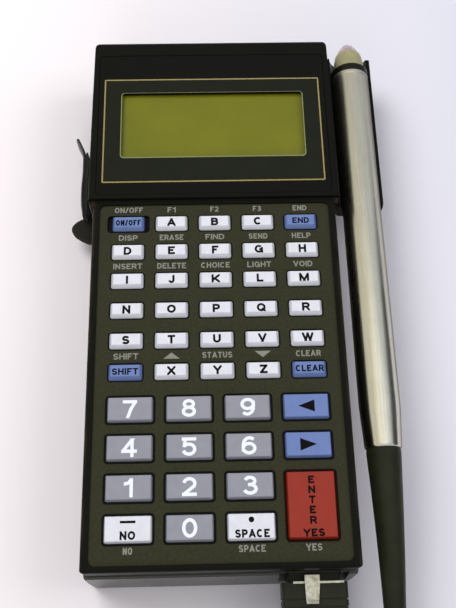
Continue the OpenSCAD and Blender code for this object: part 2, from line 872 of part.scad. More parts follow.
// The cord's coil: in on the lower layer, up a layer where the spiral turns, and out on the upper one
function coil_radius(a) = coil_r - coil_step * (coil_turns / 2 - abs(a / 360 - coil_turns / 2));
function coil_climb(a) =
    let (t = (a / 360 - coil_turns / 2 + 0.25) / 0.5, s = max(0, min(1, t)))
        s * s * (3 - 2 * s);
function coil_point(a) = [
    coil_x + coil_radius(a) * cos(coil_in + a),
    coil_y + coil_radius(a) * sin(coil_in + a),
    cord_r + coil_step * coil_climb(a),
];
coil_sweep = 360 * coil_turns;
coil_steps = round(coil_rings * coil_turns);
exit_way = [-sin(coil_out), cos(coil_out), 0];
COIL_MIDDLE = [for (i = [0:coil_steps]) coil_point(coil_sweep * i / coil_steps)];
COIL_PATH = concat(
    [coil_point(0) + [0, cord_d, 0]],
    COIL_MIDDLE,
    [coil_point(coil_sweep) + cord_d * exit_way]
);
COIL_SELF = min([
    for (i = [0:coil_steps - 13])
        min([for (j = [i + 12:coil_steps]) norm(COIL_MIDDLE[i] - COIL_MIDDLE[j])])
]) - cord_d;
echo(coil_self_gap = COIL_SELF);
echo(coil_length = coil_turns * 2 * PI * (coil_r - coil_step * coil_turns / 4));

module cord_coil() {
    color([0.05, 0.05, 0.05])
        swept(COIL_PATH, [for (p = COIL_PATH) cord_r], 6);
}

module cord_plug_lead() {
    color([0.05, 0.05, 0.05])
        swept(PLUG_ROUTE, [for (p = PLUG_ROUTE) cord_r], 8);
}

module cord_wand_lead() {
    coil_end = COIL_PATH[len(COIL_PATH) - 1];
    path = concat(
        [coil_end, coil_end + cord_r * exit_way],
        WAND_ROUTE,
        [lead_in - cord_r * unit([0, 1, boot_slope]), lead_in]
    );
    color([0.05, 0.05, 0.05])
        swept(path, [for (p = path) cord_r], 8);
}

// How far a small key's sides lean in towards its top; a large key's lean half as far
side_lean = 0.8;
far_lean = 0.5;
near_lean = 1.1;

// A key: a cap whose sides lean in, most at the near side, over a flange that keeps it in its hole
module key(k) {
    w = k[3];
    l = k[4];
    lean = is_large(k) ? 0.5 : 1;
    color(key_colour(k[0]))
        translate([k[1], k[2], 0]) {
            intersection() {
                along_z(flange_top - eps, key_top, plate(w, l, 0.8));
                along_y(-l, l, rounded([
                    [w / 2, flange_top - 1, 0],
                    [w / 2, panel_z - 0.2, 0],
                    [w / 2 - side_lean * lean, key_top, 0.35],
                    [-w / 2 + side_lean * lean, key_top, 0.35],
                    [-w / 2, panel_z - 0.2, 0],
                    [-w / 2, flange_top - 1, 0],
                ]));
                along_x(-w, w, rounded([
                    [-l / 2, flange_top - 1, 0],
                    [l / 2, flange_top - 1, 0],
                    [l / 2, panel_z - 0.2, 0],
                    [l / 2 - far_lean * lean, key_top, 0.3],
                    [-l / 2 + near_lean * lean, key_top, 0.4],
                    [-l / 2, panel_z - 0.2, 0],
                ]));
            }
            along_z(key_base, flange_top, plate(w + 2 * flange_out, l + 2 * flange_out, 1));
        }
}

function in_list(name, list) = len([for (n = list) if (n == name) n]) > 0;
function key_colour(name) =
    name == "enter" ? [0.72, 0.22, 0.14]
    : in_list(name, BLUE) ? [0.42, 0.52, 0.7]
    : in_list(name, WHITE_LARGE) ? [0.82, 0.83, 0.85]
    : len([for (r = LARGE_KEYS) if (in_list(name, r)) 1]) > 0 ? [0.58, 0.6, 0.63]
    : [0.82, 0.83, 0.85];

front_shell();
rear_shell();
display_bezel();
lcd_module();
circuit_board();
battery_cells();
battery_door();
wand_cradle();
wand_barrel();
wand_boot();
data_plug();
hand_strap();
cord_plug_lead();
cord_coil();
cord_wand_lead();
for (k = KEYS)
    key(k);
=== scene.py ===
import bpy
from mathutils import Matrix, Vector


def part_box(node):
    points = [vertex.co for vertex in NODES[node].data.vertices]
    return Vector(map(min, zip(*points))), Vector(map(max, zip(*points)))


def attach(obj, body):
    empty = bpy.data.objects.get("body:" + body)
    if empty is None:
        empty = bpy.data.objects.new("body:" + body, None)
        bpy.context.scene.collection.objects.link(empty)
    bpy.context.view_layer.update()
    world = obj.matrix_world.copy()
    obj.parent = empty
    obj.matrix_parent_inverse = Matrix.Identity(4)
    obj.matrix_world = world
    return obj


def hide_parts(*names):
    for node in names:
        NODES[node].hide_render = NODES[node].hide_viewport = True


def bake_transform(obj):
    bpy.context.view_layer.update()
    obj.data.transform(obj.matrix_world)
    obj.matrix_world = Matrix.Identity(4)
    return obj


bl_info = {
    "name": "Handheld Data Terminal",
    "version": (1, 0, 0),
    "blender": (4, 5, 0),
    "location": "View3D > Sidebar > Terminal",
    "description": "Finishes, legends, strap and cord of a handheld data terminal with a barcode wand",
    "category": "Object",
}

from math import cos, pi, radians, sin

import bmesh
import bpy
from bpy.props import FloatProperty, FloatVectorProperty, IntProperty, PointerProperty
from mathutils import Matrix, Vector
from mathutils.geometry import interpolate_bezier

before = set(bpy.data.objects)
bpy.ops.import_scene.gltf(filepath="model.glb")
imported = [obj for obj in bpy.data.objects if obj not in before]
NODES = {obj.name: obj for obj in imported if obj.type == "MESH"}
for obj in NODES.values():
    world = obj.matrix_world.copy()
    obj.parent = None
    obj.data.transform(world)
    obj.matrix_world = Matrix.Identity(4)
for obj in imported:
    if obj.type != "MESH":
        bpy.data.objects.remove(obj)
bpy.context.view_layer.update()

MM = 0.001

# Heights and places of the frame, read from its nodes
BACK_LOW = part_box("rear_shell")[0]
BEZEL_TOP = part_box("display_bezel")[1].z
STRAP_LOW, STRAP_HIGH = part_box("hand_strap")
BARREL_LOW, BARREL_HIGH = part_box("wand_barrel")
BOOT_LOW, BOOT_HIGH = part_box("wand_boot")
PLUG_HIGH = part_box("data_plug")[1]
KEY_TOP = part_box("key_a")[1].z
WAND_X = (BARREL_LOW.x + BARREL_HIGH.x) / 2
WAND_Z = (BARREL_LOW.z + BARREL_HIGH.z) / 2
WAND_R = (BARREL_HIGH.z - BARREL_LOW.z) / 2

# What no node's box gives: the keys' rise, the socket's flange, the wand's ring and nose, and the boot's sag
KEYPAD_FACE = KEY_TOP - 1.2 * MM
FLANGE_Z = 16.9 * MM
FLANGE_NEAR = -92.3 * MM
TUBE_FAR = BARREL_HIGH.y - 14.6 * MM
NOSE_NEAR = BARREL_HIGH.y - 12 * MM
BOOT_SAG = 9 * MM

# How deep ink and thin trim start under the surface that they lie on, and how high ink stands
INK_SINK = 0.005 * MM
INK_RISE = 0.03 * MM
TRIM_SINK = 0.01 * MM

# Where the camera stood and how it was turned, in degrees, then its focal length and the picture's height in
# pixels, and the sensor's size in millimetres
CAMERA_AT = (-1.8 * MM, -106.3 * MM, 274.0 * MM)
CAMERA_TURN = (21.52, -1.18, -0.99)
FOCAL_PX = 850
IMAGE_H = 608
SENSOR = 36

# Half the floor's side and its glow far out, and the studio's light: on everything, past the floor, and at
# the warm and the cool side in reflections
FLOOR_HALF = 2.5
FLOOR_GLOW = (0.86, 0.86, 0.89, 1)
LEVEL_LIGHT = (0.42, 0.42, 0.44)
BACKDROP = (0.9, 0.9, 0.92)
WARM_SIDE = (1, 0.97, 0.84)
COOL_SIDE = (0.88, 0.93, 1)

# Each lamp's place and size in metres, and its power in watts
LAMPS = {
    "key_light": ((-0.42, 0.38, 0.75), 0.55, 5.2),
    "fill_light": ((0.62, 0.1, 0.62), 0.6, 2.6),
    "near_light": ((-0.1, -0.75, 0.4), 0.5, 1.6),
}

# The keys by colour, and the words over and under them. A word on a blue key has its width in millimetres
SMALL_KEYS = "a b c d e f g h i j k l m n o p q r s t u v w x y z".split()
DIGIT_KEYS = "0 1 2 3 4 5 6 7 8 9".split()
WORD_KEYS = {"on_off": ("ON/OFF", 8.0), "end": ("END", 5.4), "shift": ("SHIFT", 8.0), "clear": ("CLEAR", 8.6)}
KEY_COLOURS = {
    "white": [*SMALL_KEYS, "no", "space"],
    "grey": DIGIT_KEYS,
    "blue": [*WORD_KEYS, "left", "right"],
    "red": ["enter"],
}
PANEL_WORDS = {
    "on_off": "ON/OFF", "a": "F1", "b": "F2", "c": "F3", "end": "END",
    "d": "DISP", "e": "ERASE", "f": "FIND", "g": "SEND", "h": "HELP",
    "i": "INSERT", "j": "DELETE", "k": "CHOICE", "l": "LIGHT", "m": "VOID",
    "shift": "SHIFT", "y": "STATUS", "clear": "CLEAR",
}
PANEL_ARROWS = {"x": 1, "z": -1}
FOOT_WORDS = {"no": "NO", "space": "SPACE", "enter": "YES"}


def shade(red, green, blue):
    """A colour written as it looks on a screen, 0 to 255, as the linear values that a shader takes."""
    channels = (red / 255, green / 255, blue / 255)
    return tuple(c / 12.92 if c <= 0.04 else ((c + 0.055) / 1.055) ** 2.4 for c in channels)


def colour(name, default, description):
    """A colour that a user would change."""
    words = {"name": name, "description": description, "default": default}
    return FloatVectorProperty(subtype="COLOR", size=3, min=0, max=1, **words)


def length(name, default, description):
    """A length in metres that a user would change."""
    words = {"name": name, "description": description, "default": default}
    return FloatProperty(subtype="DISTANCE", unit="LENGTH", min=0, **words)


class TerminalColours(bpy.types.PropertyGroup):
    """Colours of the terminal's finishes"""

    casing: colour("Casing", shade(12, 12, 8), "Moulded plastic of the front shell")
    # A lighter black than the casing's, with painted light for the light that the rear shell catches
    back: colour("Back", shade(38, 39, 32), "Moulded plastic of the rear shell and its door")
    keypad: colour("Keypad face", shade(48, 48, 33), "Sunk face that the keys come through")
    white_key: colour("White key", shade(214, 215, 222), "Letter keys")
    grey_key: colour("Grey key", shade(138, 139, 148), "Digit keys")
    blue_key: colour("Blue key", shade(100, 120, 172), "Keys for power, shift and the like")
    red_key: colour("Red key", shade(138, 34, 12), "The tall key")
    dark_ink: colour("Dark ink", shade(10, 10, 9), "Legends on white and blue keys")
    white_ink: colour("White ink", shade(232, 236, 242), "Digits on grey keys")
    panel_ink: colour("Panel ink", shade(132, 132, 122), "Words on the keypad's face")
    glass: colour("Display", shade(106, 108, 16), "Face of the liquid crystal display")
    window: colour("Window print", shade(22, 24, 16), "Print round the display, inside the line")
    bezel: colour("Bezel", shade(9, 9, 6), "Plate round the display")
    line: colour("Bezel line", shade(150, 136, 84), "Thin printed line round the window")
    steel: colour("Wand tube", shade(234, 229, 212), "Plated tube of the wand")
    nose: colour("Wand nose", shade(150, 146, 108), "Plastic nose of the wand")
    rubber: colour("Rubber", shade(31, 33, 21), "Boot, plug and cord")
    webbing: colour("Webbing", shade(26, 28, 22), "Woven hand strap")
    leather: colour("Strap tab", shade(30, 29, 24), "Leather tab sewn to the strap")
    clear_tip: colour("Wand tip", shade(182, 163, 164), "Rounded clear tip of the wand")
    screw: colour("Screw", shade(120, 120, 116), "Zinc-plated screws")
    floor: colour("Floor", shade(244, 236, 236), "Plain floor, at the left")
    # Darker and bluer than the floor at the left: painted shade and cool light
    floor_shade_right: colour("Floor right", shade(212, 213, 224), "Plain floor, at the right")


class TerminalSizes(bpy.types.PropertyGroup):
    """Sizes of what the frame leaves to this file"""

    letter_h: length("Letter height", 2.75 * MM, "Capitals on the small keys")
    word_h: length("Word height", 2.05 * MM, "Words on the blue keys")
    digit_h: length("Digit height", 5.45 * MM, "Digits on the large keys")
    panel_word_h: length("Panel word height", 1.95 * MM, "Words on the keypad's face")
    panel_word_rise: length("Panel word rise", 5.15 * MM, "From the middle of a key to the word over it")
    line_w: length("Line width", 0.45 * MM, "Printed line round the window")
    line_x: length("Line half width", 37 * MM, "From the middle to the line's outer edge")
    line_near: length("Line near edge", 34.3 * MM, "Place of the line's near side")
    line_far: length("Line far edge", 75 * MM, "Place of the line's far side")
    strap_t: length("Strap thickness", 1.2 * MM, "Thickness of the webbing")
    strap_w: length("Strap width", 25 * MM, "Width of the webbing")
    cord_d: length("Cord diameter", 4 * MM, "Outer diameter of the cord")
    coil_r: length("Coil radius", 27.5 * MM, "Radius of the coil's outer turn")
    coil_step: length("Coil step", 4.5 * MM, "From one turn of the coil to the next")
    coil_turns: FloatProperty(name="Coil turns", description="Turns in the coil", min=1, default=5.6667)
    cord_sides: IntProperty(name="Cord sides", description="Points round the cord", min=6, default=14)


# ---------------------------------------------------------------- finishes


class Nodes:
    """A tree of shader nodes, with short calls for the few kinds of node that this file uses."""

    def __init__(self, tree):
        self.tree = tree

    def feed(self, socket, value):
        """A link from another socket, or a plain value."""
        if isinstance(value, bpy.types.NodeSocket):
            self.tree.links.new(value, socket)
        else:
            socket.default_value = value

    def add(self, kind, *values, **properties):
        """A node with its properties set by name, and its first sockets fed in order."""
        node = self.tree.nodes.new(kind)
        for name, value in properties.items():
            setattr(node, name, value)
        for socket, value in zip(node.inputs, values):
            self.feed(socket, value)
        return node

    def math(self, operation, *values):
        """One sum, product or other simple function of the values."""
        return self.add("ShaderNodeMath", *values, operation=operation).outputs[0]

    def axes(self, place):
        """The X, Y and Z of a place, by name."""
        return self.add("ShaderNodeSeparateXYZ", place).outputs

    def ramp(self, value, start, end, low=0.0, high=1.0, kind="LINEAR"):
        """The value mapped from start..end to low..high, and held at both ends."""
        node = self.add("ShaderNodeMapRange", value, start, end, low, high, interpolation_type=kind)
        return node.outputs["Result"]

    def blend(self, factor, a, b, kind="MIX"):
        """Colour a where the factor is 0, and b where it is 1."""
        node = self.add("ShaderNodeMix", data_type="RGBA", blend_type=kind)
        self.feed(node.inputs["Factor"], factor)
        for socket, value in (("A", a), ("B", b)):
            self.feed(node.inputs[socket], (*value, 1) if isinstance(value, tuple) else value)
        return node.outputs["Result"]


class Finish(Nodes):
    """A material: its shader with plain values, which the calls below make uneven."""

    def __init__(self, name, base, roughness, metallic=0.0, specular=0.5):
        self.material = bpy.data.materials.new(name)
        self.material.use_nodes = True
        super().__init__(self.material.node_tree)
        self.sockets = self.tree.nodes["Principled BSDF"].inputs
        self.set("Base Color", (*base, 1))
        self.set("Roughness", roughness)
        self.set("Metallic", metallic)
        self.set("Specular IOR Level", specular)
        self.place = self.add("ShaderNodeTexCoord").outputs["Object"]
        self.x, self.y, self.z = self.axes(self.place)

    def set(self, socket, value):
        """A value that is the same all over, or one from a node."""
        self.feed(self.sockets[socket], value)

    def stretch(self, scale):
        """The place in the frame, with each axis scaled."""
        return self.add("ShaderNodeVectorMath", self.place, scale, operation="MULTIPLY").outputs[0]

    def noise(self, size, detail=2.0, scale=(1, 1, 1)):
        """Noise whose grains are about the given size in metres, 0 to 1."""
        node = self.add("ShaderNodeTexNoise")
        for socket, value in (("Vector", self.stretch(scale)), ("Scale", 1 / size), ("Detail", detail)):
            self.feed(node.inputs[socket], value)
        return node.outputs["Fac"]

    def patches(self, size, detail, low=0.0, high=1.0):
        """Noise spread out, so that it reaches from low to high."""
        return self.ramp(self.noise(size, detail), 0.3, 0.7, low, high)

    def between(self, value, low, high):
        """1 where the value lies between the two, and 0 elsewhere, with a soft edge of 20 micrometres."""
        edge = 0.02 * MM
        up = self.ramp(value, low - edge, low + edge)
        down = self.ramp(value, high + edge, high - edge)
        return self.math("MULTIPLY", up, down)

    def dots(self, axis, pitch):
        """Rows of dots along an axis: 1 on a dot and 0 between."""
        value = self.math("DIVIDE", axis, pitch)
        return self.ramp(self.math("PINGPONG", value, 0.5), 0.08, 0.16)

    def paint(self, factor, a, b):
        """Colour from a to b, as a factor goes from 0 to 1."""
        self.set("Base Color", self.blend(factor, a, b))

    def mottle(self, factor, base, dark, light):
        """The base colour times dark to times light, as a factor goes from 0 to 1."""
        self.paint(factor, tint(base, dark), tint(base, light))

    def bump(self, height, depth):
        """Bump from a height of 0 to 1 that stands for the given depth in metres, over any that is there."""
        node = self.add("ShaderNodeBump")
        self.feed(node.inputs["Strength"], 1)
        self.feed(node.inputs["Distance"], depth)
        self.feed(node.inputs["Height"], height)
        if self.sockets["Normal"].is_linked:
            self.feed(node.inputs["Normal"], self.sockets["Normal"].links[0].from_socket)
        self.set("Normal", node.outputs["Normal"])


def tint(base, factor):
    """The same colour, lighter or darker."""
    return tuple(min(1.0, c * factor) for c in base)


def moulded(name, base, roughness, grain=0.35 * MM, depth=0.02 * MM, mottle=0.12, specular=0.1):
    """Moulded plastic with a spark-eroded grain, faint mottling and handled patches that shine more."""
    look = Finish(name, base, roughness, specular=specular)
    look.mottle(look.patches(14 * MM, 3), base, 1 - mottle, 1 + mottle)
    look.set("Roughness", look.patches(22 * MM, 1, roughness - 0.04, roughness + 0.04))
    look.bump(look.noise(grain), depth)
    return look


def casing_finish(colours):
    """The front shell: black moulding with side rims brown in patches, partly wear and partly painted
    highlight, and the keypad's sunk face in dark olive grey.
    """
    look = moulded("casing_black", tuple(colours.casing), 0.42)
    black = look.sockets["Base Color"].links[0].from_socket
    olive, wear_highlight_brown = tuple(colours.keypad), shade(84, 68, 48)
    up = look.axes(look.add("ShaderNodeNewGeometry").outputs["True Normal"])["Z"]
    level = look.between(look.z, KEYPAD_FACE - 0.05 * MM, KEYPAD_FACE + 0.05 * MM)
    face = look.math("MULTIPLY", level, look.ramp(up, 0.9, 0.95))
    grains = look.ramp(look.noise(0.7 * MM, 3), 0.35, 0.65)
    speckled = look.blend(grains, tint(olive, 0.86), tint(olive, 1.16))
    # The side rims turn brown in patches: partly wear and partly a painted highlight
    outside = look.ramp(look.math("ABSOLUTE", look.x), 38.6 * MM, 40.2 * MM)
    rim = look.math("MULTIPLY", look.between(look.z, KEY_TOP - 1.5 * MM, KEY_TOP - 0.4 * MM), outside)
    rubs = look.ramp(look.noise(3.5 * MM, 4, (1, 0.3, 1)), 0.42, 0.62, 0.1, 0.75)
    wear_and_highlight = look.blend(look.math("MULTIPLY", look.math("MULTIPLY", rim, rubs), 0.7), black, wear_highlight_brown)
    look.paint(face, wear_and_highlight, speckled)
    return look.material


def dark_plastic(name, base, roughness, grain, depth):
    """Plain dark plastic for small pieces."""
    look = Finish(name, base, roughness, specular=0.1)
    look.bump(look.noise(grain), depth)
    return look.material


def ink(name, base):
    """Screen-printed ink, a little uneven."""
    look = Finish(name, base, 0.55, specular=0.1)
    look.mottle(look.patches(0.5 * MM, 3), base, 0.92, 1.06)
    look.bump(look.noise(0.2 * MM), 0.004 * MM)
    return look.material


def key_finish(name, base):
    """Key plastic: smooth and slightly uneven, and darker low down in patches, with painted shade where the
    cap sits in its opening.
    """
    look = Finish(name, base, 0.4)
    # Painted shade: each key darkens towards its foot, down in its opening
    low = look.ramp(look.z, KEYPAD_FACE - 0.6 * MM, KEY_TOP - 0.5 * MM, 0.75, 0)
    low_shade = look.math("MULTIPLY", low, look.ramp(look.noise(1.5 * MM, 3), 0.2, 0.8, 0.5, 1))
    unshaded = look.blend(look.patches(3 * MM, 3), tint(base, 0.95), tint(base, 1.04))
    look.paint(low_shade, unshaded, tint(base, 0.35))
    look.set("Roughness", look.patches(4 * MM, 2, 0.33, 0.47))
    look.bump(look.noise(0.25 * MM), 0.006 * MM)
    return look.material


def rubber_finish(name, base, roughness):
    """Rubber with a fine bloom and dust that catches the light."""
    look = Finish(name, base, roughness, specular=0.2)
    look.mottle(look.ramp(look.noise(5 * MM, 4), 0.35, 0.75), base, 0.85, 1.3)
    look.set("Roughness", look.patches(9 * MM, 2, roughness - 0.1, roughness + 0.08))
    look.bump(look.noise(0.3 * MM, 3), 0.012 * MM)
    return look.material


def plated_finish(colours):
    """The wand's tube: satin plating with drawing marks, worn patches, painted dark reflection towards its
    far end, and a paler band behind the ring.
    """
    steel = tuple(colours.steel)
    look = Finish("wand_plated", steel, 0.3, metallic=1.0)
    pale = shade(222, 216, 204)
    collar = look.ramp(look.y, TUBE_FAR - 1.7 * MM, TUBE_FAR - 1.3 * MM)
    marks = look.noise(0.35 * MM, 3, (1, 0.02, 1))
    drawn = look.blend(look.ramp(marks, 0.3, 0.7), tint(steel, 0.94), tint(steel, 1.12))
    wear = look.math("MULTIPLY", look.ramp(look.noise(8 * MM, 4), 0.45, 0.75), 0.3)
    metal = look.blend(wear, drawn, tint(steel, 0.78))
    # Painted reflection: the tube is mixed with near black towards its far end, for the dark that it reflects
    # there
    metal = look.blend(look.ramp(look.y, TUBE_FAR, BOOT_HIGH.y, 0.86, 1), tint(steel, 0.12), metal)
    look.paint(look.math("MULTIPLY", collar, 0.6), metal, pale)
    duller = look.ramp(look.y, BOOT_HIGH.y, TUBE_FAR, 0, 0.14)
    dull = look.math("ADD", look.ramp(marks, 0.3, 0.7, 0.16, 0.24), duller)
    look.set("Roughness", look.math("ADD", dull, look.math("MULTIPLY", collar, 0.12)))
    look.set("Specular Tint", (0.2, 0.2, 0.19, 1))
    look.bump(marks, 0.0015 * MM)
    return look.material


def nose_finish(colours):
    """The wand's nose: dull olive plastic, with scuffs that run round it."""
    look = Finish("nose_plastic", tuple(colours.nose), 0.42, specular=0.3)
    scuffs = look.noise(0.8 * MM, 4, (0.2, 1, 0.2))
    look.mottle(look.ramp(scuffs, 0.3, 0.7), tuple(colours.nose), 0.86, 1.1)
    look.set("Roughness", look.ramp(scuffs, 0.3, 0.7, 0.36, 0.5))
    look.bump(scuffs, 0.006 * MM)
    return look.material


def tip_finish(colours):
    """The clear tip that the wand reads through: cloudy and a little pink."""
    look = Finish("tip_clear", tuple(colours.clear_tip), 0.22)
    look.mottle(look.patches(1.2 * MM, 3), tuple(colours.clear_tip), 0.9, 1.1)
    look.set("Transmission Weight", 0.35)
    look.set("Coat Weight", 0.4)
    look.set("Coat Roughness", 0.1)
    return look.material


def plug_finish(colours):
    """The plug: black moulding, with the bare metal of its spring tongue and of its socket's flange."""
    black = tuple(colours.rubber)
    bright, dull = shade(214, 212, 196), shade(166, 158, 132)
    look = Finish("plug_black", black, 0.46, specular=0.25)
    tongue = look.ramp(look.z, PLUG_HIGH.z - 0.72 * MM, PLUG_HIGH.z - 0.68 * MM)
    raised = look.ramp(look.z, FLANGE_Z, FLANGE_Z + 0.04 * MM)
    flange = look.math("MULTIPLY", raised, look.ramp(look.y, FLANGE_NEAR, FLANGE_NEAR + 0.1 * MM))
    bare = look.math("MAXIMUM", tongue, flange)
    plastic = look.blend(look.patches(4 * MM, 3), tint(black, 0.85), tint(black, 1.2))
    metal = look.blend(look.ramp(look.noise(1.2 * MM, 3), 0.35, 0.7), bright, dull)
    look.paint(bare, plastic, metal)
    look.set("Metallic", bare)
    look.set("Roughness", look.ramp(bare, 0, 1, 0.46, 0.28))
    look.bump(look.noise(0.3 * MM), 0.012 * MM)
    return look.material


def glass_finish(colours):
    """The display: a pale olive field under clear glass, with a faint grid of dots and uneven rub marks."""
    base = tuple(colours.glass)
    look = Finish("display_field", base, 0.3, specular=0.2)
    dots = look.math("MULTIPLY", look.dots(look.x, 0.62 * MM), look.dots(look.y, 0.7 * MM))
    warm = (base[0] * 1.03, base[1], base[2] * 0.85)
    field = look.blend(look.patches(16 * MM, 3), tint(base, 0.93), tint(warm, 1.07))
    look.paint(look.math("MULTIPLY", dots, 0.1), field, tint(base, 0.55))
    look.set("Coat Weight", 0.3)
    look.set("Coat Roughness", 0.06)
    return look.material


def printed_film(name, base, roughness):
    """Smooth printed film with faint rub marks."""
    look = Finish(name, base, roughness, specular=0.15)
    look.mottle(look.patches(9 * MM, 4), base, 0.9, 1.12)
    rubs = look.noise(6 * MM, 3, (1, 0.4, 1))
    look.set("Roughness", look.ramp(rubs, 0.3, 0.75, roughness - 0.06, roughness + 0.1))
    return look.material


def webbing_finish(colours):
    """Woven nylon: small crossing yarns in rows, darker between the yarns and lighter on the high spots."""
    base = tuple(colours.webbing)
    look = Finish("webbing_black", base, 0.8)
    wave = look.math("MULTIPLY", look.math("SINE", look.math("MULTIPLY", look.y, 2 * pi / (1.1 * MM))), 1.6)
    across = look.math("MULTIPLY", look.math("ADD", look.x, look.z), 2 * pi / (1.5 * MM))
    yarn = look.ramp(look.math("SINE", look.math("ADD", across, wave)), -1, 1)
    fuzz = look.noise(0.2 * MM, 3)
    look.mottle(look.math("MULTIPLY", yarn, fuzz), base, 0.6, 2)
    look.bump(yarn, 0.12 * MM)
    look.bump(fuzz, 0.02 * MM)
    look.set("Sheen Weight", 0.25)
    look.set("Sheen Roughness", 0.4)
    return look.material


def stitch_finish():
    """Waxed thread, paler than the leather."""
    look = Finish("tab_stitch", shade(70, 68, 58), 0.8, specular=0.2)
    look.bump(look.noise(0.15 * MM, 3), 0.02 * MM)
    return look.material


def plain_metal(name, base):
    """Plated metal with fine scratches."""
    look = Finish(name, base, 0.32, metallic=1.0)
    marks = look.noise(0.5 * MM, 3, (1, 0.15, 1))
    look.mottle(look.ramp(marks, 0.3, 0.7), base, 0.86, 1.06)
    look.set("Roughness", look.ramp(marks, 0.3, 0.7, 0.26, 0.42))
    return look.material


def board_finish():
    """Circuit board: green mask over faint tracks."""
    base = shade(30, 82, 52)
    look = Finish("board_green", base, 0.35)
    tracks = look.add("ShaderNodeTexBrick", look.stretch((300, 300, 300))).outputs["Fac"]
    look.mottle(tracks, base, 1, 1.6)
    look.bump(tracks, 0.03 * MM)
    return look.material


def cell_finish():
    """Printed sleeve of a battery cell."""
    base = shade(82, 112, 78)
    look = Finish("cell_sleeve", base, 0.35)
    look.mottle(look.patches(6 * MM, 3), base, 0.85, 1.15)
    look.bump(look.noise(1 * MM), 0.01 * MM)
    return look.material


# ---------------------------------------------------------------- shapes


def dress(node, material):
    """Gives a node of the frame its finish."""
    data = NODES[node].data
    data.materials.clear()
    data.materials.append(material)


def made(name, mesh_maker, material, body, smooth=None):
    """A piece from a bmesh that mesh_maker fills, dressed and riding on a body."""
    bm = bmesh.new()
    mesh_maker(bm)
    bmesh.ops.recalc_face_normals(bm, faces=bm.faces)
    mesh = bpy.data.meshes.new(name)
    bm.to_mesh(mesh)
    bm.free()
    piece = bpy.data.objects.new(name, mesh)
    bpy.context.scene.collection.objects.link(piece)
    mesh.materials.append(material)
    if smooth is not None:
        mesh.shade_smooth()
        mesh.set_sharp_from_angle(angle=radians(smooth))
    if body:
        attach(piece, body)
    return piece


def settings():
    """The colours and the sizes that a user can change."""
    scene = bpy.context.scene
    return scene.terminal_colours, scene.terminal_sizes


def loft(bm, rings, ends=True):
    """Faces from each ring of points to the next, closed at both ends, or else on from last to first."""
    pairs = list(zip(rings, rings[1:]))
    if not ends:
        pairs.append((rings[-1], rings[0]))
    for one, two in pairs:
        for here in range(len(one)):
            after = (here + 1) % len(one)
            bm.faces.new((one[here], one[after], two[after], two[here]))
    if ends:
        bm.faces.new(rings[0])
        bm.faces.new(rings[-1])


def circle(bm, centre, radius, side, up, steps):
    """A ring of points about a centre, in the plane of two directions."""
    angles = [2 * pi * k / steps for k in range(steps)]
    return [bm.verts.new(centre + radius * (cos(a) * side + sin(a) * up)) for a in angles]


def lathe(bm, centre, along, profile, steps):
    """A round solid about an axis through centre, from pairs of a distance along it and a radius."""
    centre, along = Vector(centre), Vector(along).normalized()
    side = along.orthogonal().normalized()
    up = along.cross(side)
    rings = [circle(bm, centre + along * reach, radius, side, up, steps) for reach, radius in profile]
    loft(bm, rings)


def direction(line, i):
    """Which way a line goes at one of its points."""
    return (line[min(i + 1, len(line) - 1)] - line[max(i - 1, 0)]).normalized()


def tube(bm, path, radii, sides):
    """A closed tube along a path, with a radius for each point. Its rings turn as little as they can."""
    side = direction(path, 0).cross(Vector((0, 0, 1))).normalized()
    rings = []
    for i, (centre, radius) in enumerate(zip(path, radii)):
        ahead = direction(path, i)
        side = (side - ahead * side.dot(ahead)).normalized()
        rings.append(circle(bm, centre, radius, side, side.cross(ahead), sides))
    loft(bm, rings)


def soft_line(points, steps):
    """A smooth line through the points, with steps to each stretch."""
    line = [points[0]]
    for i, (a, b) in enumerate(zip(points, points[1:])):
        reach = (b - a).length / 3
        a_knot = a + direction(points, i) * reach
        b_knot = b - direction(points, i + 1) * reach
        line += interpolate_bezier(a, a_knot, b_knot, b, steps + 1)[1:]
    return line


def run(line):
    """How long a line is."""
    return sum((b - a).length for a, b in zip(line, line[1:]))


def slab(bm, outline, low, high):
    """A flat solid with the outline, given as points in X and Y, between two heights."""
    loft(bm, [[bm.verts.new((x, y, z)) for x, y in outline] for z in (low, high)])


def frame_slab(bm, outer, inner, low, high):
    """A flat ring between two outlines that have the same number of points."""
    corners = ((outer, low), (outer, high), (inner, high), (inner, low))
    loft(bm, [[bm.verts.new((x, y, z)) for x, y in outline] for outline, z in corners], ends=False)


def rounded_box(x0, x1, y0, y1, radius):
    """The outline of a rectangle with round corners."""
    steps = 6
    points = []
    for x, y, start in ((x1, y1, 0), (x0, y1, 90), (x0, y0, 180), (x1, y0, 270)):
        centre_x = x - radius if x == x1 else x + radius
        centre_y = y - radius if y == y1 else y + radius
        for k in range(steps + 1):
            a = radians(start + 90 * k / steps)
            points.append((centre_x + radius * cos(a), centre_y + radius * sin(a)))
    return points


def bend(x, y, wide, tall, start, stop):
    """Points along part of an ellipse about x, y, from one angle in degrees to another."""
    steps = max(2, round(abs(stop - start) / 18))
    angles = [radians(start + (stop - start) * k / steps) for k in range(steps + 1)]
    return [(x + wide * cos(a), y + tall * sin(a)) for a in angles]


# Strokes that many letters share: along the four sides of the letter's box, and the round one that fills it
LEFT_BAR, RIGHT_BAR = [(0, 0), (0, 1)], [(1, 0), (1, 1)]
TOP_BAR, FOOT_BAR = [(0, 1), (1, 1)], [(0, 0), (1, 0)]
ROUND = bend(0.5, 0.5, 0.5, 0.5, 0, 360)

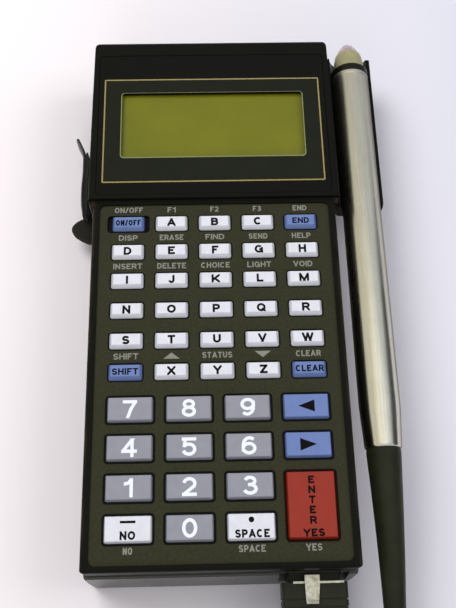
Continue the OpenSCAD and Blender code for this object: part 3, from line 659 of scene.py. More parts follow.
# Each letter's width against its height, and its strokes, from 0 to 1 both ways
LETTERS = {
    "A": (0.98, [[(0, 0), (0.5, 1)], [(1, 0), (0.5, 1)], [(0.16, 0.26), (0.84, 0.26)]]),
    "B": (0.86, [
        LEFT_BAR, [(0, 1), (0.58, 1), *bend(0.58, 0.77, 0.36, 0.23, 75, -90), (0, 0.54)],
        [(0, 0.54), (0.62, 0.54), *bend(0.62, 0.27, 0.38, 0.27, 75, -75), (0.62, 0), (0, 0)],
    ]),
    "C": (0.94, [bend(0.5, 0.5, 0.5, 0.5, 44, 316)]),
    "D": (0.9, [LEFT_BAR, [(0, 1), (0.42, 1), *bend(0.42, 0.5, 0.58, 0.5, 75, -75), (0.42, 0), (0, 0)]]),
    "E": (0.8, [LEFT_BAR, TOP_BAR, [(0, 0.52), (0.9, 0.52)], FOOT_BAR]),
    "F": (0.76, [LEFT_BAR, TOP_BAR, [(0, 0.5), (0.86, 0.5)]]),
    "G": (0.98, [bend(0.5, 0.5, 0.5, 0.5, 44, 322), [(1, 0.02), (1, 0.46)], [(1, 0.46), (0.56, 0.46)]]),
    "H": (0.88, [LEFT_BAR, RIGHT_BAR, [(0, 0.52), (1, 0.52)]]),
    "I": (0, [LEFT_BAR]),
    "J": (0.72, [[(1, 1), (1, 0.34), *bend(0.5, 0.34, 0.5, 0.34, -15, -170)]]),
    "K": (0.96, [LEFT_BAR, [(0, 0.26), (1, 1)], [(0.3, 0.52), (1, 0)]]),
    "L": (0.76, [LEFT_BAR, FOOT_BAR]),
    "M": (1.12, [LEFT_BAR, RIGHT_BAR, [(0, 1), (0.5, 0)], [(1, 1), (0.5, 0)]]),
    "N": (0.9, [LEFT_BAR, RIGHT_BAR, [(0, 1), (1, 0)]]),
    "O": (1.0, [ROUND]),
    "P": (0.84, [
        LEFT_BAR, [(0, 1), (0.56, 1), *bend(0.56, 0.71, 0.44, 0.29, 75, -75), (0.56, 0.42), (0, 0.42)],
    ]),
    "Q": (1.0, [ROUND, [(0.58, 0.3), (1, 0)]]),
    "R": (0.9, [
        LEFT_BAR, [(0, 1), (0.56, 1), *bend(0.56, 0.72, 0.42, 0.28, 75, -75), (0.56, 0.44), (0, 0.44)],
        [(0.56, 0.44), (1, 0)],
    ]),
    "S": (0.84, [[*bend(0.5, 0.75, 0.47, 0.25, 16, 270), *bend(0.5, 0.25, 0.5, 0.25, 75, -164)]]),
    "T": (0.84, [TOP_BAR, [(0.5, 0), (0.5, 1)]]),
    "U": (0.88, [[(0, 1), (0, 0.4), *bend(0.5, 0.4, 0.5, 0.4, 195, 345), (1, 0.4), (1, 1)]]),
    "V": (0.94, [[(0, 1), (0.5, 0)], [(1, 1), (0.5, 0)]]),
    "W": (1.3, [[(0, 1), (0.26, 0)], [(0.5, 1), (0.26, 0)], [(0.5, 1), (0.74, 0)], [(1, 1), (0.74, 0)]]),
    "X": (0.92, [[(0, 0), (1, 1)], [(0, 1), (1, 0)]]),
    "Y": (0.94, [[(0, 1), (0.5, 0.42)], [(1, 1), (0.5, 0.42)], [(0.5, 0.5), (0.5, 0)]]),
    "Z": (0.84, [TOP_BAR, FOOT_BAR, [(0, 0), (1, 1)]]),
    "0": (0.8, [ROUND]),
    "1": (0.48, [RIGHT_BAR, [(0, 0.76), (0.5, 0.8), (0.96, 1)]]),
    "2": (0.78, [[*bend(0.5, 0.69, 0.48, 0.31, 172, -36), (0.03, 0.02)], FOOT_BAR]),
    "3": (0.78, [
        bend(0.48, 0.77, 0.43, 0.23, 165, -90), bend(0.48, 0.27, 0.52, 0.27, 90, -165),
        [(0.3, 0.54), (0.5, 0.54)],
    ]),
    "4": (0.84, [[(0.74, 0), (0.74, 1)], [(0, 0.27), (1, 0.27)], [(0.7, 1), (0.02, 0.3)]]),
    "5": (0.78, [[(0.12, 1), (0.94, 1)], [(0.16, 1), (0.06, 0.46)], bend(0.48, 0.33, 0.52, 0.33, 142, -162)]),
    "6": (0.8, [
        bend(0.5, 0.31, 0.5, 0.31, 0, 360), [*bend(0.56, 0.5, 0.56, 0.5, 50, 165), (0, 0.4), (0, 0.31)],
    ]),
    "7": (0.78, [TOP_BAR, [(1, 1), (0.6, 0.5), (0.36, 0)]]),
    "8": (0.78, [bend(0.5, 0.77, 0.42, 0.23, 0, 360), bend(0.5, 0.27, 0.5, 0.27, 0, 360)]),
    "9": (0.8, [
        bend(0.5, 0.69, 0.5, 0.31, 0, 360), [*bend(0.44, 0.5, 0.56, 0.5, 230, 345), (1, 0.6), (1, 0.69)],
    ]),
    "/": (0.6, [[(0, 0), (1, 1)]]),
}


def clipped(corners, wide, tall):
    """The part of a convex shape that lies from 0 to wide and from 0 to tall."""
    for axis, limit, keep in ((0, 0, 1), (0, wide, -1), (1, 0, 1), (1, tall, -1)):
        kept = []
        for a, b in zip(corners, corners[1:] + corners[:1]):
            inside = (a[axis] - limit) * keep, (b[axis] - limit) * keep
            if inside[0] >= 0:
                kept.append(a)
            if inside[0] * inside[1] < 0:
                kept.append(a.lerp(b, inside[0] / (inside[0] - inside[1])))
        corners = kept
    return corners


def stroke_shapes(points, wide, tall, thick):
    """The convex shapes that make up one stroke of a letter: each stretch of it, mitred to the next."""
    inset = thick / 2
    line = [Vector((inset + x * (wide - thick), inset + y * (tall - thick))) for x, y in points]
    line = [p for i, p in enumerate(line) if i == 0 or (p - line[i - 1]).length > thick * 0.01]
    closed = (line[0] - line[-1]).length < thick * 0.02
    if closed:
        line = line[:-1]
    else:
        for end, other, place in ((0, 1, points[0]), (-1, -2, points[-1])):
            if min(place) == 0 or max(place) == 1:
                line[end] = line[end] + (line[end] - line[other]).normalized() * thick
    count = len(line)
    ways = [(b - a).normalized() for a, b in zip(line, line[1:] + line[:1])]
    sides = []
    for i in range(count):
        meet = [ways[i - 1], ways[i]] if closed or 0 < i < count - 1 else [ways[min(i, count - 2)]]
        way = sum(meet, Vector((0, 0))).normalized()
        half = Vector((-way.y, way.x)) * (thick / 2 / max(0.5, way.dot(meet[0])))
        sides.append((line[i] + half, line[i] - half))
    for i in range(count if closed else count - 1):
        (a, b), (d, c) = sides[i], sides[(i + 1) % count]
        shape = clipped([a, b, c, d], wide, tall)
        if len(shape) > 2:
            yield shape


def lettering(bm, text, at, height, width, bold=0.2):
    """Flat letters centred at a place, with strokes of bold times their height, fitted to a width above 0.

    Strokes that cross lie at slightly different heights, so that no two faces fall together.
    """
    thick = bold * height
    gap = 0.13 * height
    own = [LETTERS[c][0] * height for c in text]
    spare = width - gap * (len(text) - 1) - thick * text.count("I") if width else sum(own)
    share = spare / sum(own) if sum(own) else 1
    widths = [max(thick, w * share) for w in own]
    left = at[0] - (sum(widths) + gap * (len(text) - 1)) / 2
    low = at[1] - height / 2
    layer = 0
    for letter, wide in zip(text, widths):
        for points in LETTERS[letter][1]:
            layer = (layer + 1) % 4
            top = at[2] + INK_RISE + layer * 0.002 * MM
            for shape in stroke_shapes(points, wide, height, thick):
                slab(bm, [(left + p.x, low + p.y) for p in shape], at[2], top)
        left += wide + gap


def middle(node):
    """The middle of a node's box."""
    low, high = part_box(node)
    return (low + high) / 2


# ---------------------------------------------------------------- stage


class TERMINAL_OT_stage(bpy.types.Operator):
    """Makes the camera, the floor and the soft light"""

    bl_idname = "terminal.stage"
    bl_label = "Stage"

    def execute(self, context):
        colours, _ = settings()
        scene = context.scene
        scene.view_settings.view_transform = "Standard"
        self.camera(scene)
        self.floor(colours)
        self.world(scene)
        for name, (at, size, power) in LAMPS.items():
            self.lamp(name, at, size, power)
        return {"FINISHED"}

    def camera(self, scene):
        """The camera, where the picture was taken from."""
        data = bpy.data.cameras.new("camera")
        camera = bpy.data.objects.new("camera", data)
        scene.collection.objects.link(camera)
        scene.camera = camera
        data.sensor_fit = "AUTO"
        data.sensor_width = SENSOR
        data.lens = FOCAL_PX / IMAGE_H * SENSOR
        data.clip_start = 0.01
        tilt, roll, turn = (Matrix.Rotation(radians(-a), 3, axis) for a, axis in zip(CAMERA_TURN, "XYZ"))
        camera.matrix_world = Matrix.Translation(CAMERA_AT) @ (turn @ roll @ tilt).transposed().to_4x4()

    def floor(self, colours):
        """A plain floor with painted shade and cooler light at the right, that fades into an even glow that
        only the camera sees.
        """
        look = Finish("floor_pale", tuple(colours.floor), 0.6, specular=0.2)
        # Painted shade and cool light: the floor turns darker and bluer towards the right
        near = look.blend(look.ramp(look.x, -0.09, 0.12), tuple(colours.floor), tuple(colours.floor_shade_right))
        distance = look.add("ShaderNodeVectorMath", look.place, operation="LENGTH").outputs["Value"]
        seen = look.add("ShaderNodeLightPath").outputs["Is Camera Ray"]
        glow = look.math("MULTIPLY", look.ramp(distance, 0.35, 0.8), seen)
        look.paint(glow, near, (0, 0, 0))
        look.set("Emission Color", FLOOR_GLOW)
        look.set("Emission Strength", glow)
        look.bump(look.noise(3 * MM), 0.01 * MM)
        floor = made("floor", self.ground, look.material, None)
        floor.location = (0, 0, BACK_LOW.z - 0.05 * MM)

    def ground(self, bm):
        """The floor's flat mesh."""
        bmesh.ops.create_grid(bm, x_segments=2, y_segments=2, size=FLOOR_HALF)

    def world(self, scene):
        """A level light on everything, a plain backdrop for the camera, and a studio in reflections."""
        world = bpy.data.worlds.new("studio")
        world.use_nodes = True
        scene.world = world
        nodes = Nodes(world.node_tree)
        ray = nodes.add("ShaderNodeLightPath").outputs
        way = nodes.axes(nodes.add("ShaderNodeTexCoord").outputs["Generated"])
        overhead = nodes.ramp(way["Z"], 0.74, 0.97, 0.62, 1, kind="SMOOTHSTEP")
        right = nodes.ramp(way["X"], 0.66, 0.9, 1, 0.1, kind="SMOOTHSTEP")
        warmth = nodes.blend(nodes.ramp(way["X"], -0.5, 0.6), WARM_SIDE, COOL_SIDE)
        room = nodes.blend(1, nodes.math("MULTIPLY", overhead, right), warmth, kind="MULTIPLY")
        backdrop = nodes.blend(ray["Is Glossy Ray"], BACKDROP, room)
        seen = nodes.math("MAXIMUM", ray["Is Camera Ray"], ray["Is Glossy Ray"])
        seen = nodes.math("MAXIMUM", seen, ray["Is Transmission Ray"])
        nodes.feed(nodes.tree.nodes["Background"].inputs["Color"], nodes.blend(seen, LEVEL_LIGHT, backdrop))

    def lamp(self, name, at, size, power):
        """A round lamp that points at the middle of the frame and doesn't show in reflections."""
        data = bpy.data.lights.new(name, "AREA")
        data.shape = "DISK"
        data.size = size
        data.energy = power
        lamp = bpy.data.objects.new(name, data)
        bpy.context.scene.collection.objects.link(lamp)
        lamp.location = at
        lamp.visible_glossy = False
        lamp.rotation_mode = "QUATERNION"
        lamp.rotation_quaternion = (Vector((0, 0, 0)) - Vector(at)).to_track_quat("-Z", "Y")


# ---------------------------------------------------------------- cord


# The cord's free runs, in millimetres, as they lie in the frame
PLUG_RUN = [
    (27, -120.1, 11.8), (27, -123, 11.8), (27, -128, 11.2), (26.8, -133, 9.3), (26.4, -138, 6.8),
    (26, -143, 4.5), (25.8, -148, 2.9), (25.9, -153, 2.2), (26.2, -158, 2), (26.7, -163, 2), (27, -168, 2),
    (27, -171, 2),
]
WAND_RUN = [
    (60, -146, 6.4), (57.4, -143.2, 6.1), (55.1, -139.8, 5.7), (53.2, -136.2, 5.4), (51.7, -132.3, 5.5),
    (50.7, -128.4, 6.2), (50, -124.4, 7.5),
]
COIL_AT = (54.5 * MM, -175 * MM)
# The angle where the coil starts, its points to a turn, the boot's slope at its end, and the gap there
COIL_IN = 180
COIL_RINGS = 24
BOOT_SLOPE = 0.279
CORD_GAP = 0.3 * MM


def coil_point(sizes, angle):
    """A point of the coil after so many degrees: in on the lower layer, and out on the upper one."""
    half = sizes.coil_turns / 2
    turn = angle / 360
    radius = sizes.coil_r - sizes.coil_step * (half - abs(turn - half))
    share = max(0, min(1, (turn - half + 0.25) / 0.5))
    climb = share * share * (3 - 2 * share)
    height = sizes.cord_d / 2 + sizes.coil_step * climb
    a = radians(COIL_IN + angle)
    return Vector((COIL_AT[0] + radius * cos(a), COIL_AT[1] + radius * sin(a), height))


def cord_lines(sizes):
    """The cord's middle line in two parts: from the plug through the coil, and on to the wand's boot."""
    sweep = 360 * sizes.coil_turns
    count = round(COIL_RINGS * sizes.coil_turns)
    coil = [coil_point(sizes, sweep * i / count) for i in range(count + 1)]
    a = radians(COIL_IN + sweep)
    leave = Vector((-sin(a), cos(a), 0)) * sizes.cord_d
    into_boot = Vector((0, 1, BOOT_SLOPE))
    arrive = Vector((WAND_X, BOOT_LOW.y, WAND_Z - BOOT_SAG)) - CORD_GAP * into_boot
    before = arrive - into_boot.normalized() * sizes.cord_d / 2
    plug_run, wand_run = ([Vector(p) * MM for p in points] for points in (PLUG_RUN, WAND_RUN))
    lead = soft_line([coil[-1] + leave, coil[-1] + leave * 1.5, *wand_run, before, arrive], 3)
    return soft_line(plug_run, 3) + coil + lead[:1], lead


class TERMINAL_OT_cord(bpy.types.Operator):
    """Lays the wand's cord from its plug, through a neat coil, to the wand's boot"""

    bl_idname = "terminal.cord"
    bl_label = "Cord"

    def execute(self, context):
        colours, sizes = settings()
        coiled, lead = cord_lines(sizes)
        finish = rubber_finish("cord_jacket", tint(tuple(colours.rubber), 0.9), 0.42)
        cord = self.lay(sizes, "cord", coiled, finish, "coiled", [NODES["data_plug"]])
        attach(cord, "casing")
        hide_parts("cord_plug_lead", "cord_coil")
        rising = self.lay(sizes, "cord_lead", lead, finish, "loose", [])
        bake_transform(rising)
        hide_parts("cord_wand_lead")
        return {"FINISHED"}

    def lay(self, sizes, name, line, finish, lay, pieces):
        """A stretch of the cord."""
        radii = [sizes.cord_d / 2] * len(line)
        cord = made(name, lambda bm: tube(bm, line, radii, sizes.cord_sides), finish, None, 60)
        tuple(line[0])
        round(run(line), 3)
        [tuple(p) for p in line]
        return cord


# ---------------------------------------------------------------- casing


# Each screw's place in millimetres, and how far its cross is turned in degrees
SCREWS = {
    "left_near": (-33.2, -84, 20), "left_far": (-33.2, 79, 48),
    "right_near": (33.2, -84, 3), "right_far": (33.2, 79, 71),
}
SCREW_SINK = 0.25 * MM
SCREW_R = 2.5 * MM


class TERMINAL_OT_casing(bpy.types.Operator):
    """Dresses both shells, the battery door, the cradle and what is inside"""

    bl_idname = "terminal.casing"
    bl_label = "Casing"

    def execute(self, context):
        colours, _ = settings()
        # The rear shell's black is lighter than the front's, with painted light for the light that it catches
        back = moulded("back_black", tuple(colours.back), 0.27, mottle=0.04, specular=0.6).material
        dress("front_shell", casing_finish(colours))
        dress("rear_shell", back)
        dress("battery_door", back)
        dress("wand_cradle", moulded("cradle_black", tint(tuple(colours.casing), 0.9), 0.36).material)
        dress("circuit_board", board_finish())
        dress("battery_cells", cell_finish())
        return {"FINISHED"}


class TERMINAL_OT_screws(bpy.types.Operator):
    """Sets a cross-head screw in each hole of the back"""

    bl_idname = "terminal.screws"
    bl_label = "Screws"

    def execute(self, context):
        colours, _ = settings()
        finish = plain_metal("screw_zinc", tuple(colours.screw))
        for name, (x, y, _) in SCREWS.items():
            made("screw_" + name, lambda bm: self.head(bm, x * MM, y * MM), finish, "casing", smooth=35)
        # Painted shade: a flat black cross on each head stands for the shade in its recess
        dark = dark_plastic("recess_black", shade(14, 14, 13), 0.6, 0.2 * MM, 0.01 * MM)
        made("screw_recesses", self.recesses, dark, "casing")
        return {"FINISHED"}

    def head(self, bm, x, y):
        """A pan head, from pairs of a depth in millimetres and a share of its radius."""
        profile = ((0, 0.6), (0.15, 0.86), (0.5, 1), (1.25, 1), (1.25, 0.4))
        sized = [(depth * MM, share * SCREW_R) for depth, share in profile]
        lathe(bm, (x, y, SCREW_SINK), (0, 0, 1), sized, 32)

    def recesses(self, bm):
        """A flat black cross on each screw, with tapered arms: painted shade where its cross recess is."""
        arm = ((0.3, -0.3), (1.35, -0.2), (1.35, 0.2), (0.3, 0.3))
        for x, y, turn in SCREWS.values():
            turns = [Matrix.Rotation(radians(turn + 90 * quarter), 2) for quarter in range(4)]
            outline = [(Vector((x, y)) + way @ Vector(corner)) * MM for way in turns for corner in arm]
            slab(bm, outline, SCREW_SINK - 0.02 * MM, SCREW_SINK + 0.05 * MM)


# ---------------------------------------------------------------- keys


# The words on the large keys, each with its place from the key's middle, height, width and weight, and the
# marks. All is in millimetres, apart from the weight, which is a share of the height. A width of 0 leaves a
# word as wide as its letters
LARGE_WORDS = {
    "left": [],
    "right": [],
    "no": [("NO", 0, -1.75, 2.4, 4.4, 0.24)],
    "space": [("SPACE", 0.15, -1.9, 2.3, 9.8, 0.24)],
    "enter": [
        *((letter, 0.1, 7.1 - 2.86 * row, 2.2, 0, 0.25) for row, letter in enumerate("ENTER")),
        ("YES", 0.1, -7.85, 2.2, 6.1, 0.26),
    ],
}
KEY_MARKS = {
    "left": [(-2.45, 0), (2.45, 1.85), (2.45, -1.85)],
    "right": [(2.45, 0), (-2.45, 1.85), (-2.45, -1.85)],
    "no": rounded_box(-2.2, 2.2, 1.65, 2.35, 0.1),
    "space": [(0.8 * cos(pi * k / 12), 1.95 + 0.8 * sin(pi * k / 12)) for k in range(24)],
}


class TERMINAL_OT_keys(bpy.types.Operator):
    """Dresses the keys and prints what stands on each"""

    bl_idname = "terminal.keys"
    bl_label = "Keys"

    def execute(self, context):
        colours, sizes = settings()
        for colour_name, names in KEY_COLOURS.items():
            finish = key_finish("key_" + colour_name, tuple(getattr(colours, colour_name + "_key")))
            for name in names:
                dress("key_" + name, finish)
        dark = ink("ink_dark", tuple(colours.dark_ink))
        pale = ink("ink_white", tuple(colours.white_ink))
        for name in SMALL_KEYS:
            self.legend(name, dark, [(name.upper(), 0, 0, sizes.letter_h / MM, 0, 0.25)])
        for name, (word, wide) in WORD_KEYS.items():
            self.legend(name, dark, [(word, 0, 0, sizes.word_h / MM, wide, 0.22)])
        for name in DIGIT_KEYS:
            self.legend(name, pale, [(name, 0, 0, sizes.digit_h / MM, 0, 0.18)])
        for name, words in LARGE_WORDS.items():
            self.legend(name, dark, words, KEY_MARKS.get(name))
        # Painted shade: black rings round the openings stand for the shade in the gaps round the keys
        rim = dark_plastic("well_black", shade(9, 9, 7), 0.5, 0.3 * MM, 0.006 * MM)
        made("key_wells", self.wells, rim, "casing")
        return {"FINISHED"}

    def legend(self, name, material, words, mark=None):
        """One piece for all the ink on a key: its words, as in LARGE_WORDS, and its mark."""
        centre = middle("key_" + name)
        base = KEY_TOP - INK_SINK

        def fill(bm):
            for word, x, y, tall, wide, bold in words:
                lettering(bm, word, (centre.x + x * MM, centre.y + y * MM, base), tall * MM, wide * MM, bold)
            if mark:
                slab(bm, [(centre.x + x * MM, centre.y + y * MM) for x, y in mark], base, base + INK_RISE)

        made("legend_" + name, fill, material, "key_" + name)

    def wells(self, bm):
        """A black ring round each opening in the keypad's face, wider round the large keys: painted shade in
        the gap round each key.
        """
        for name in NODES:
            if name.startswith("key_"):
                low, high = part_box(name)
                large = high.y - low.y > 7 * MM
                inset, rim = (0.5 * MM, 0.5 * MM) if large else (0.6 * MM, 0.35 * MM)
                x0, x1, y0, y1 = low.x + inset, high.x - inset, low.y + inset, high.y - inset
                outer = rounded_box(x0 - rim, x1 + rim, y0 - rim, y1 + rim, 1.2 * MM)
                inner = rounded_box(x0, x1, y0, y1, 0.9 * MM)
                frame_slab(bm, outer, inner, KEYPAD_FACE - TRIM_SINK, KEYPAD_FACE + 0.04 * MM)


# Half the size of an arrow on the keypad's face, and how far a word stands from its key's near edge
ARROW_WIDE = 2.5 * MM
ARROW_TALL = 1 * MM
FOOT_DROP = -1.4 * MM


class TERMINAL_OT_panel_words(bpy.types.Operator):
    """Prints the words on the keypad's face"""

    bl_idname = "terminal.panel_words"
    bl_label = "Panel words"

    def execute(self, context):
        colours, sizes = settings()
        material = ink("ink_panel", tuple(colours.panel_ink))

        def fill(bm):
            for name, word in PANEL_WORDS.items():
                self.word(bm, sizes, word, middle("key_" + name), sizes.panel_word_rise)
            for name, word in FOOT_WORDS.items():
                low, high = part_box("key_" + name)
                self.word(bm, sizes, word, Vector(((low.x + high.x) / 2, low.y)), FOOT_DROP)
            for name, way in PANEL_ARROWS.items():
                key = middle("key_" + name)
                x, y = key.x, key.y + sizes.panel_word_rise
                wide, tall = ARROW_WIDE, way * ARROW_TALL
                outline = [(x, y + tall), (x - wide, y - tall), (x + wide, y - tall)]
                slab(bm, outline, KEYPAD_FACE - INK_SINK, KEYPAD_FACE + INK_RISE)

        made("panel_words", fill, material, "casing")
        return {"FINISHED"}

    def word(self, bm, sizes, word, at, rise):
        """A word in the panel's narrow letters, where two take less room each than three or more."""
        count = len(word)
        wide = (1.55 * count - 0.1 if count > 2 else 1.35 * count) * MM
        lettering(bm, word, (at.x, at.y + rise, KEYPAD_FACE - INK_SINK), sizes.panel_word_h, wide)


# ---------------------------------------------------------------- display


class TERMINAL_OT_display(bpy.types.Operator):
    """Dresses the bezel and the display, and adds the printed line and window round it, with a pale ring of
    painted highlight on the window's edge
    """

    bl_idname = "terminal.display"
    bl_label = "Display"

    def execute(self, context):
        colours, sizes = settings()
        black = tuple(colours.bezel)
        bezel = moulded("bezel_black", black, 0.34, 0.25 * MM, 0.005 * MM, mottle=0.08, specular=0.12)
        dress("display_bezel", bezel.material)
        dress("lcd_module", glass_finish(colours))
        x, width = sizes.line_x, sizes.line_w
        near, far = sizes.line_near, sizes.line_far
        line = rounded_box(-x, x, near, far, 0.5 * MM)
        within = rounded_box(width - x, x - width, near + width, far - width, 0.25 * MM)
        hole = self.window(31, 12.75, 12.75, 0.5)
        highlight_outer = self.window(31.2, 13, 12.85, 1.3)
        highlight_inner = self.window(30.88, 12.64, 12.73, 1.1)
        self.trim("bezel_line", line, within, 0.05 * MM, ink("bezel_line", tuple(colours.line)))
        film = printed_film("window_print", tuple(colours.window), 0.22)
        self.trim("window_print", within, hole, 0.03 * MM, film)
        # A pale ring on the bezel round the window: a painted highlight on the window's edge
        self.trim("display_rim", highlight_outer, highlight_inner, 0.05 * MM, ink("rim_pale", shade(128, 132, 92)))
        return {"FINISHED"}

    def window(self, side, near, far, radius):
        """An outline about the display's middle, from its reach to the sides, near and far in millimetres."""
        view = middle("lcd_module").y
        return rounded_box(-side * MM, side * MM, view - near * MM, view + far * MM, radius * MM)

    def trim(self, name, outer, inner, rise, finish):
        """A thin flat ring that stands a little above the bezel."""
        low, high = BEZEL_TOP - TRIM_SINK, BEZEL_TOP + rise
        made(name, lambda bm: frame_slab(bm, outer, inner, low, high), finish, "casing")


# ---------------------------------------------------------------- wand


class TERMINAL_OT_wand(bpy.types.Operator):
    """Dresses the wand's tube and makes its soft boot"""

    bl_idname = "terminal.wand"
    bl_label = "Wand"

    def execute(self, context):
        colours, _ = settings()
        ring_rubber = rubber_finish("ring_black", shade(20, 20, 16), 0.4)
        barrel = [
            made("wand_tube", self.tube_part, plated_finish(colours), "wand", smooth=40),
            made("wand_ring", self.ring, ring_rubber, "wand", smooth=40),
            made("wand_nose", self.nose, nose_finish(colours), "wand", smooth=50),
            made("wand_tip", self.tip, tip_finish(colours), "wand", smooth=60),
        ]
        for piece in barrel:
            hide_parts("wand_barrel")
        finish = rubber_finish("boot_rubber", tuple(colours.rubber), 0.48)
        boot = made("boot", self.boot, finish, "wand", smooth=40)
        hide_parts("wand_boot")
        return {"FINISHED"}

    def turned(self, bm, y, profile):
        """A part turned about the wand's axis, from millimetres back from y and radii in millimetres."""
        lathe(bm, (WAND_X, y, WAND_Z), (0, -1, 0), [(d * MM, r * MM) for d, r in profile], 64)

    def tube_part(self, bm):
        """The tube, with a rolled far edge and a swage where it meets the boot."""
        long = (TUBE_FAR - BARREL_LOW.y) / MM
        full = WAND_R / MM
        self.turned(bm, TUBE_FAR, [
            (0, full - 0.9), (0, full - 0.35), (0.12, full - 0.1), (0.35, full), (1.5, full),
            (1.62, full - 0.05), (1.74, full), (long - 15, full), (long - 12, full - 0.06),
            (long - 9, full - 0.22), (long - 6, full - 0.42), (long - 1.2, full - 0.7),
            (long - 0.35, full - 0.78), (long, full - 1.1),
        ])

    def ring(self, bm):
        """The black ring behind the nose, with a fine groove round it."""
        full = WAND_R / MM
        self.turned(bm, NOSE_NEAR, [
            (0, full - 0.9), (0, full - 0.3), (0.25, full - 0.02), (1.15, full), (1.25, full - 0.15),
            (1.4, full - 0.15), (1.5, full), (2.3, full - 0.02), (2.55, full - 0.3), (2.58, full - 0.9),
        ])

    def nose(self, bm):
        """The nose: an ogive with a small step at its foot and a lip that holds the clear tip."""
        self.turned(bm, BARREL_HIGH.y, [
            (5.2, 4), (5.2, 4.47), (5.4, 4.6), (6, 4.78), (7.4, 5.08), (9, 5.25), (11.2, 5.3), (11.35, 5.5),
            (11.95, 5.55), (12, 5.55),
        ])

    def tip(self, bm):
        """The clear tip, which carries on the nose's curve."""
        self.turned(bm, BARREL_HIGH.y, [
            (0.25, 0.2), (0.33, 0.85), (0.6, 1.5), (1.05, 2.05), (1.7, 2.55), (2.4, 3), (3.2, 3.47),
            (4, 3.88), (4.8, 4.24), (5.35, 4.42), (5.4, 4),
        ])

    def boot(self, bm):
        """A sleeve that narrows in a soft curve and sags like a bent bar, with a rolled lip at each end."""
        rings = 56
        wide, slim = 5.35 * MM, 2.5 * MM
        wide_lip, slim_lip = 0.25 * MM, 0.3 * MM
        shares = [i / rings for i in range(rings + 1)]
        near, far = BOOT_LOW.y, BOOT_HIGH.y
        path = [Vector((WAND_X, far - (far - near) * t, WAND_Z - BOOT_SAG * t * t)) for t in shares]
        radii = [slim + (wide - slim) * (1 - t) ** 1.15 for t in shares]
        radii[0] -= wide_lip
        radii[-1] -= slim_lip
        tube(bm, path, radii, 32)


# ---------------------------------------------------------------- plug


class TERMINAL_OT_plug(bpy.types.Operator):
    """Dresses the plug, with its spring tongue and the flange of its socket"""

    bl_idname = "terminal.plug"
    bl_label = "Plug"

    def execute(self, context):
        colours, _ = settings()
        dress("data_plug", plug_finish(colours))
        return {"FINISHED"}


# ---------------------------------------------------------------- strap


# The strap's plan lines, in millimetres: the flap from its peeled far corner on, and the tab's outline
FLAP_LINE = [
    (-48.3, 61.6), (-46.9, 58.5), (-45.7, 55.3), (-45.5, 50.9), (-45.5, 46.9), (-45.7, 43.4),
    (-45.7, 39.4), (-45.5, 34.9), (-44.9, 30.8),
]
TAB_OUTLINE = [
    (-42.2, 32.6), (-44.6, 32), (-46.8, 31.2), (-48.8, 29.9), (-49.7, 28.4), (-49.5, 26.9), (-48.4, 25.1),
    (-46.8, 23.7), (-44.8, 22.5), (-43, 21.8), (-42.2, 22.2),
]
# The webbing's middle line in X and Z, in millimetres over its lowest run: across the back and up the side
BAND_LINE = [
    (20, 0), (0, 0), (-25, 0), (-37.5, 0), (-40.6, 1), (-42.6, 2.8), (-44.3, 5.6), (-44.45, 8),
]
BAND_Y = 42.9 * MM
FLAP_LOW = 3.4 * MM
# The tab's height over the table, and where it starts to droop, by how much at its tip, and over what reach
TAB_Z = 7.25 * MM
TAB_BEND_X = -44 * MM
TAB_DROOP = 0.5 * MM
TAB_REACH = 5 * MM


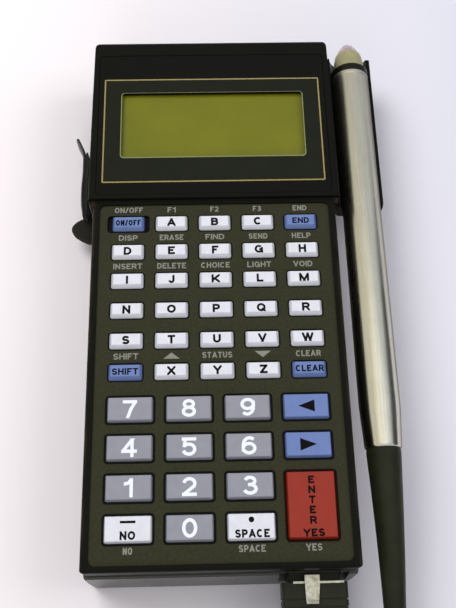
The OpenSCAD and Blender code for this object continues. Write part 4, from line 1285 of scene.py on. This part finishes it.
class TERMINAL_OT_strap(bpy.types.Operator):
    """Makes the webbing strap across the back, its folded flap and its leather tab"""

    bl_idname = "terminal.strap"
    bl_label = "Hand strap"

    def execute(self, context):
        colours, sizes = settings()
        woven = webbing_finish(colours)
        low = STRAP_LOW.z + sizes.strap_t / 2
        across = [Vector((x * MM, 0, low + z * MM)) for x, z in BAND_LINE]
        start = Vector((STRAP_HIGH.x, 0, low))
        end = Vector((across[-1].x - 0.1 * MM, 0, STRAP_HIGH.z - 0.3 * MM))
        line = soft_line([start, *across, end], 4)
        band = self.webbing("strap_band", lambda bm: self.band(bm, sizes, line), woven)
        round(run(line), 4)
        bent = soft_line([Vector((x, y, 0)) * MM for x, y in FLAP_LINE], 4)
        flap = self.webbing("strap_flap", lambda bm: self.flap(bm, sizes, bent), woven)
        round(run(bent), 4)
        leather = moulded("tab_leather", tuple(colours.leather), 0.6, 0.5 * MM, 0.05 * MM, specular=0.2)
        self.webbing("strap_tab", self.tab, leather.material)
        made("strap_stitch", self.stitches, stitch_finish(), "casing")
        return {"FINISHED"}

    def webbing(self, name, mesh_maker, material):
        """A dressed piece riding on the casing, in place of the frame's strap, which it hides."""
        piece = made(name, mesh_maker, material, "casing", smooth=50)
        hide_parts("hand_strap")
        return piece

    def cloth(self, bm, line, points, place):
        """A thick sheet along a line. place gives a point of its cut from shares along and across it."""
        shares = [k / points for k in range(points + 1)]
        turn = [(s, 1) for s in shares] + [(s, -1) for s in shares[::-1]]
        rings = []
        for i, p in enumerate(line):
            way = direction(line, i)
            rings.append([bm.verts.new(p + place(way, i / (len(line) - 1), s, side)) for s, side in turn])
        loft(bm, rings)

    def band(self, bm, sizes, line):
        """The webbing, with thinner edges."""

        def place(way, along, s, side):
            edge = 1 - max(0, (abs(2 * s - 1) - 0.9) / 0.1) ** 2 * 0.55
            out = Vector((way.z, 0, -way.x)) * (sizes.strap_t / 2 * side * edge)
            return out + Vector((0, BAND_Y + (s - 0.5) * sizes.strap_w, 0))

        self.cloth(bm, line, 14, place)

    def flap(self, bm, sizes, line):
        """The webbing's end, folded down outside the band: its top edge waves, and its foot leans out."""
        high = STRAP_HIGH.z - 0.1 * MM

        def place(way, along, s, side):
            out = Vector((way.y, -way.x, 0))
            out = -out if out.x > 0 else out
            wave = 0.5 * MM * sin(pi * along) ** 2
            dip = 0.9 * MM * max(0, 0.2 - along) / 0.2
            top = high - wave - dip
            belly = 0.21 * MM * sin(pi * s) - 0.3 * MM * (1 - s) ** 2
            lean = belly * (0.4 + 0.6 * sin(pi * along))
            edge = 1 - max(0, (abs(2 * s - 1) - 0.84) / 0.16) ** 2 * 0.6
            out *= lean + sizes.strap_t * 0.45 * side * edge
            return out + Vector((0, 0, FLAP_LOW + (top - FLAP_LOW) * s))

        self.cloth(bm, line, 10, place)

    def leaf(self, point, height):
        """A point of the tab at a height over its middle, drooped more the further out it lies."""
        droop = TAB_DROOP * max(0, (TAB_BEND_X - point.x) / TAB_REACH) ** 2
        return Vector((point.x, point.y, TAB_Z + height - droop))

    def tab(self, bm):
        """A leather leaf that stands out over the flap's near end, thinner at its edge and drooped."""
        outline = soft_line([Vector((x, y, 0)) * MM for x, y in TAB_OUTLINE], 3)
        centre = sum(outline, Vector()) / len(outline)
        upper = [(0, 0.315), (0.12, 0.54), (0.5, 0.594), (0.9, 0.594)]
        lower = [(inset, -height) for inset, height in upper[::-1]]
        rings = []
        for inset, height in [*lower, (0, 0), *upper]:
            rings.append([bm.verts.new(self.leaf(p.lerp(centre, inset), height * MM)) for p in outline])
        loft(bm, rings)

    def stitches(self, bm):
        """Thread along the tab, just inside its edge, as short raised stitches."""
        outline = [Vector((x, y, 0)) * MM for x, y in TAB_OUTLINE[1:-1]]
        centre = sum(outline, Vector()) / len(outline)
        line = [self.leaf(p, 0.62 * MM) for p in soft_line([p.lerp(centre, 0.22) for p in outline], 4)]
        for a, b in list(zip(line, line[1:]))[::2]:
            tube(bm, [a, (a + b) / 2 + Vector((0, 0, 0.06 * MM)), b], [0.13 * MM] * 3, 6)


# ---------------------------------------------------------------- add-on


STEPS = (
    TERMINAL_OT_stage, TERMINAL_OT_cord, TERMINAL_OT_casing, TERMINAL_OT_screws, TERMINAL_OT_keys,
    TERMINAL_OT_panel_words, TERMINAL_OT_display, TERMINAL_OT_wand, TERMINAL_OT_plug, TERMINAL_OT_strap,
)


class TERMINAL_PT_panel(bpy.types.Panel):
    """Lists the steps that dress the terminal, and its colours and sizes"""

    bl_idname = "TERMINAL_PT_panel"
    bl_label = "Handheld terminal"
    bl_space_type = "VIEW_3D"
    bl_region_type = "UI"
    bl_category = "Terminal"

    def draw(self, context):
        for step in STEPS:
            self.layout.operator(step.bl_idname)
        for group in (context.scene.terminal_colours, context.scene.terminal_sizes):
            column = self.layout.column(heading=group.bl_rna.name)
            for name in group.__annotations__:
                column.prop(group, name)


CLASSES = (TerminalColours, TerminalSizes, *STEPS, TERMINAL_PT_panel)


def register():
    for cls in CLASSES:
        bpy.utils.register_class(cls)
    bpy.types.Scene.terminal_colours = PointerProperty(type=TerminalColours)
    bpy.types.Scene.terminal_sizes = PointerProperty(type=TerminalSizes)


def unregister():
    del bpy.types.Scene.terminal_colours
    del bpy.types.Scene.terminal_sizes
    for cls in reversed(CLASSES):
        bpy.utils.unregister_class(cls)


def main():
    register()
    bpy.ops.terminal.stage()
    bpy.ops.terminal.cord()
    bpy.ops.terminal.casing()
    bpy.ops.terminal.screws()
    bpy.ops.terminal.keys()
    bpy.ops.terminal.panel_words()
    bpy.ops.terminal.display()
    bpy.ops.terminal.wand()
    bpy.ops.terminal.plug()
    bpy.ops.terminal.strap()


if __name__ == "__main__":
    main()
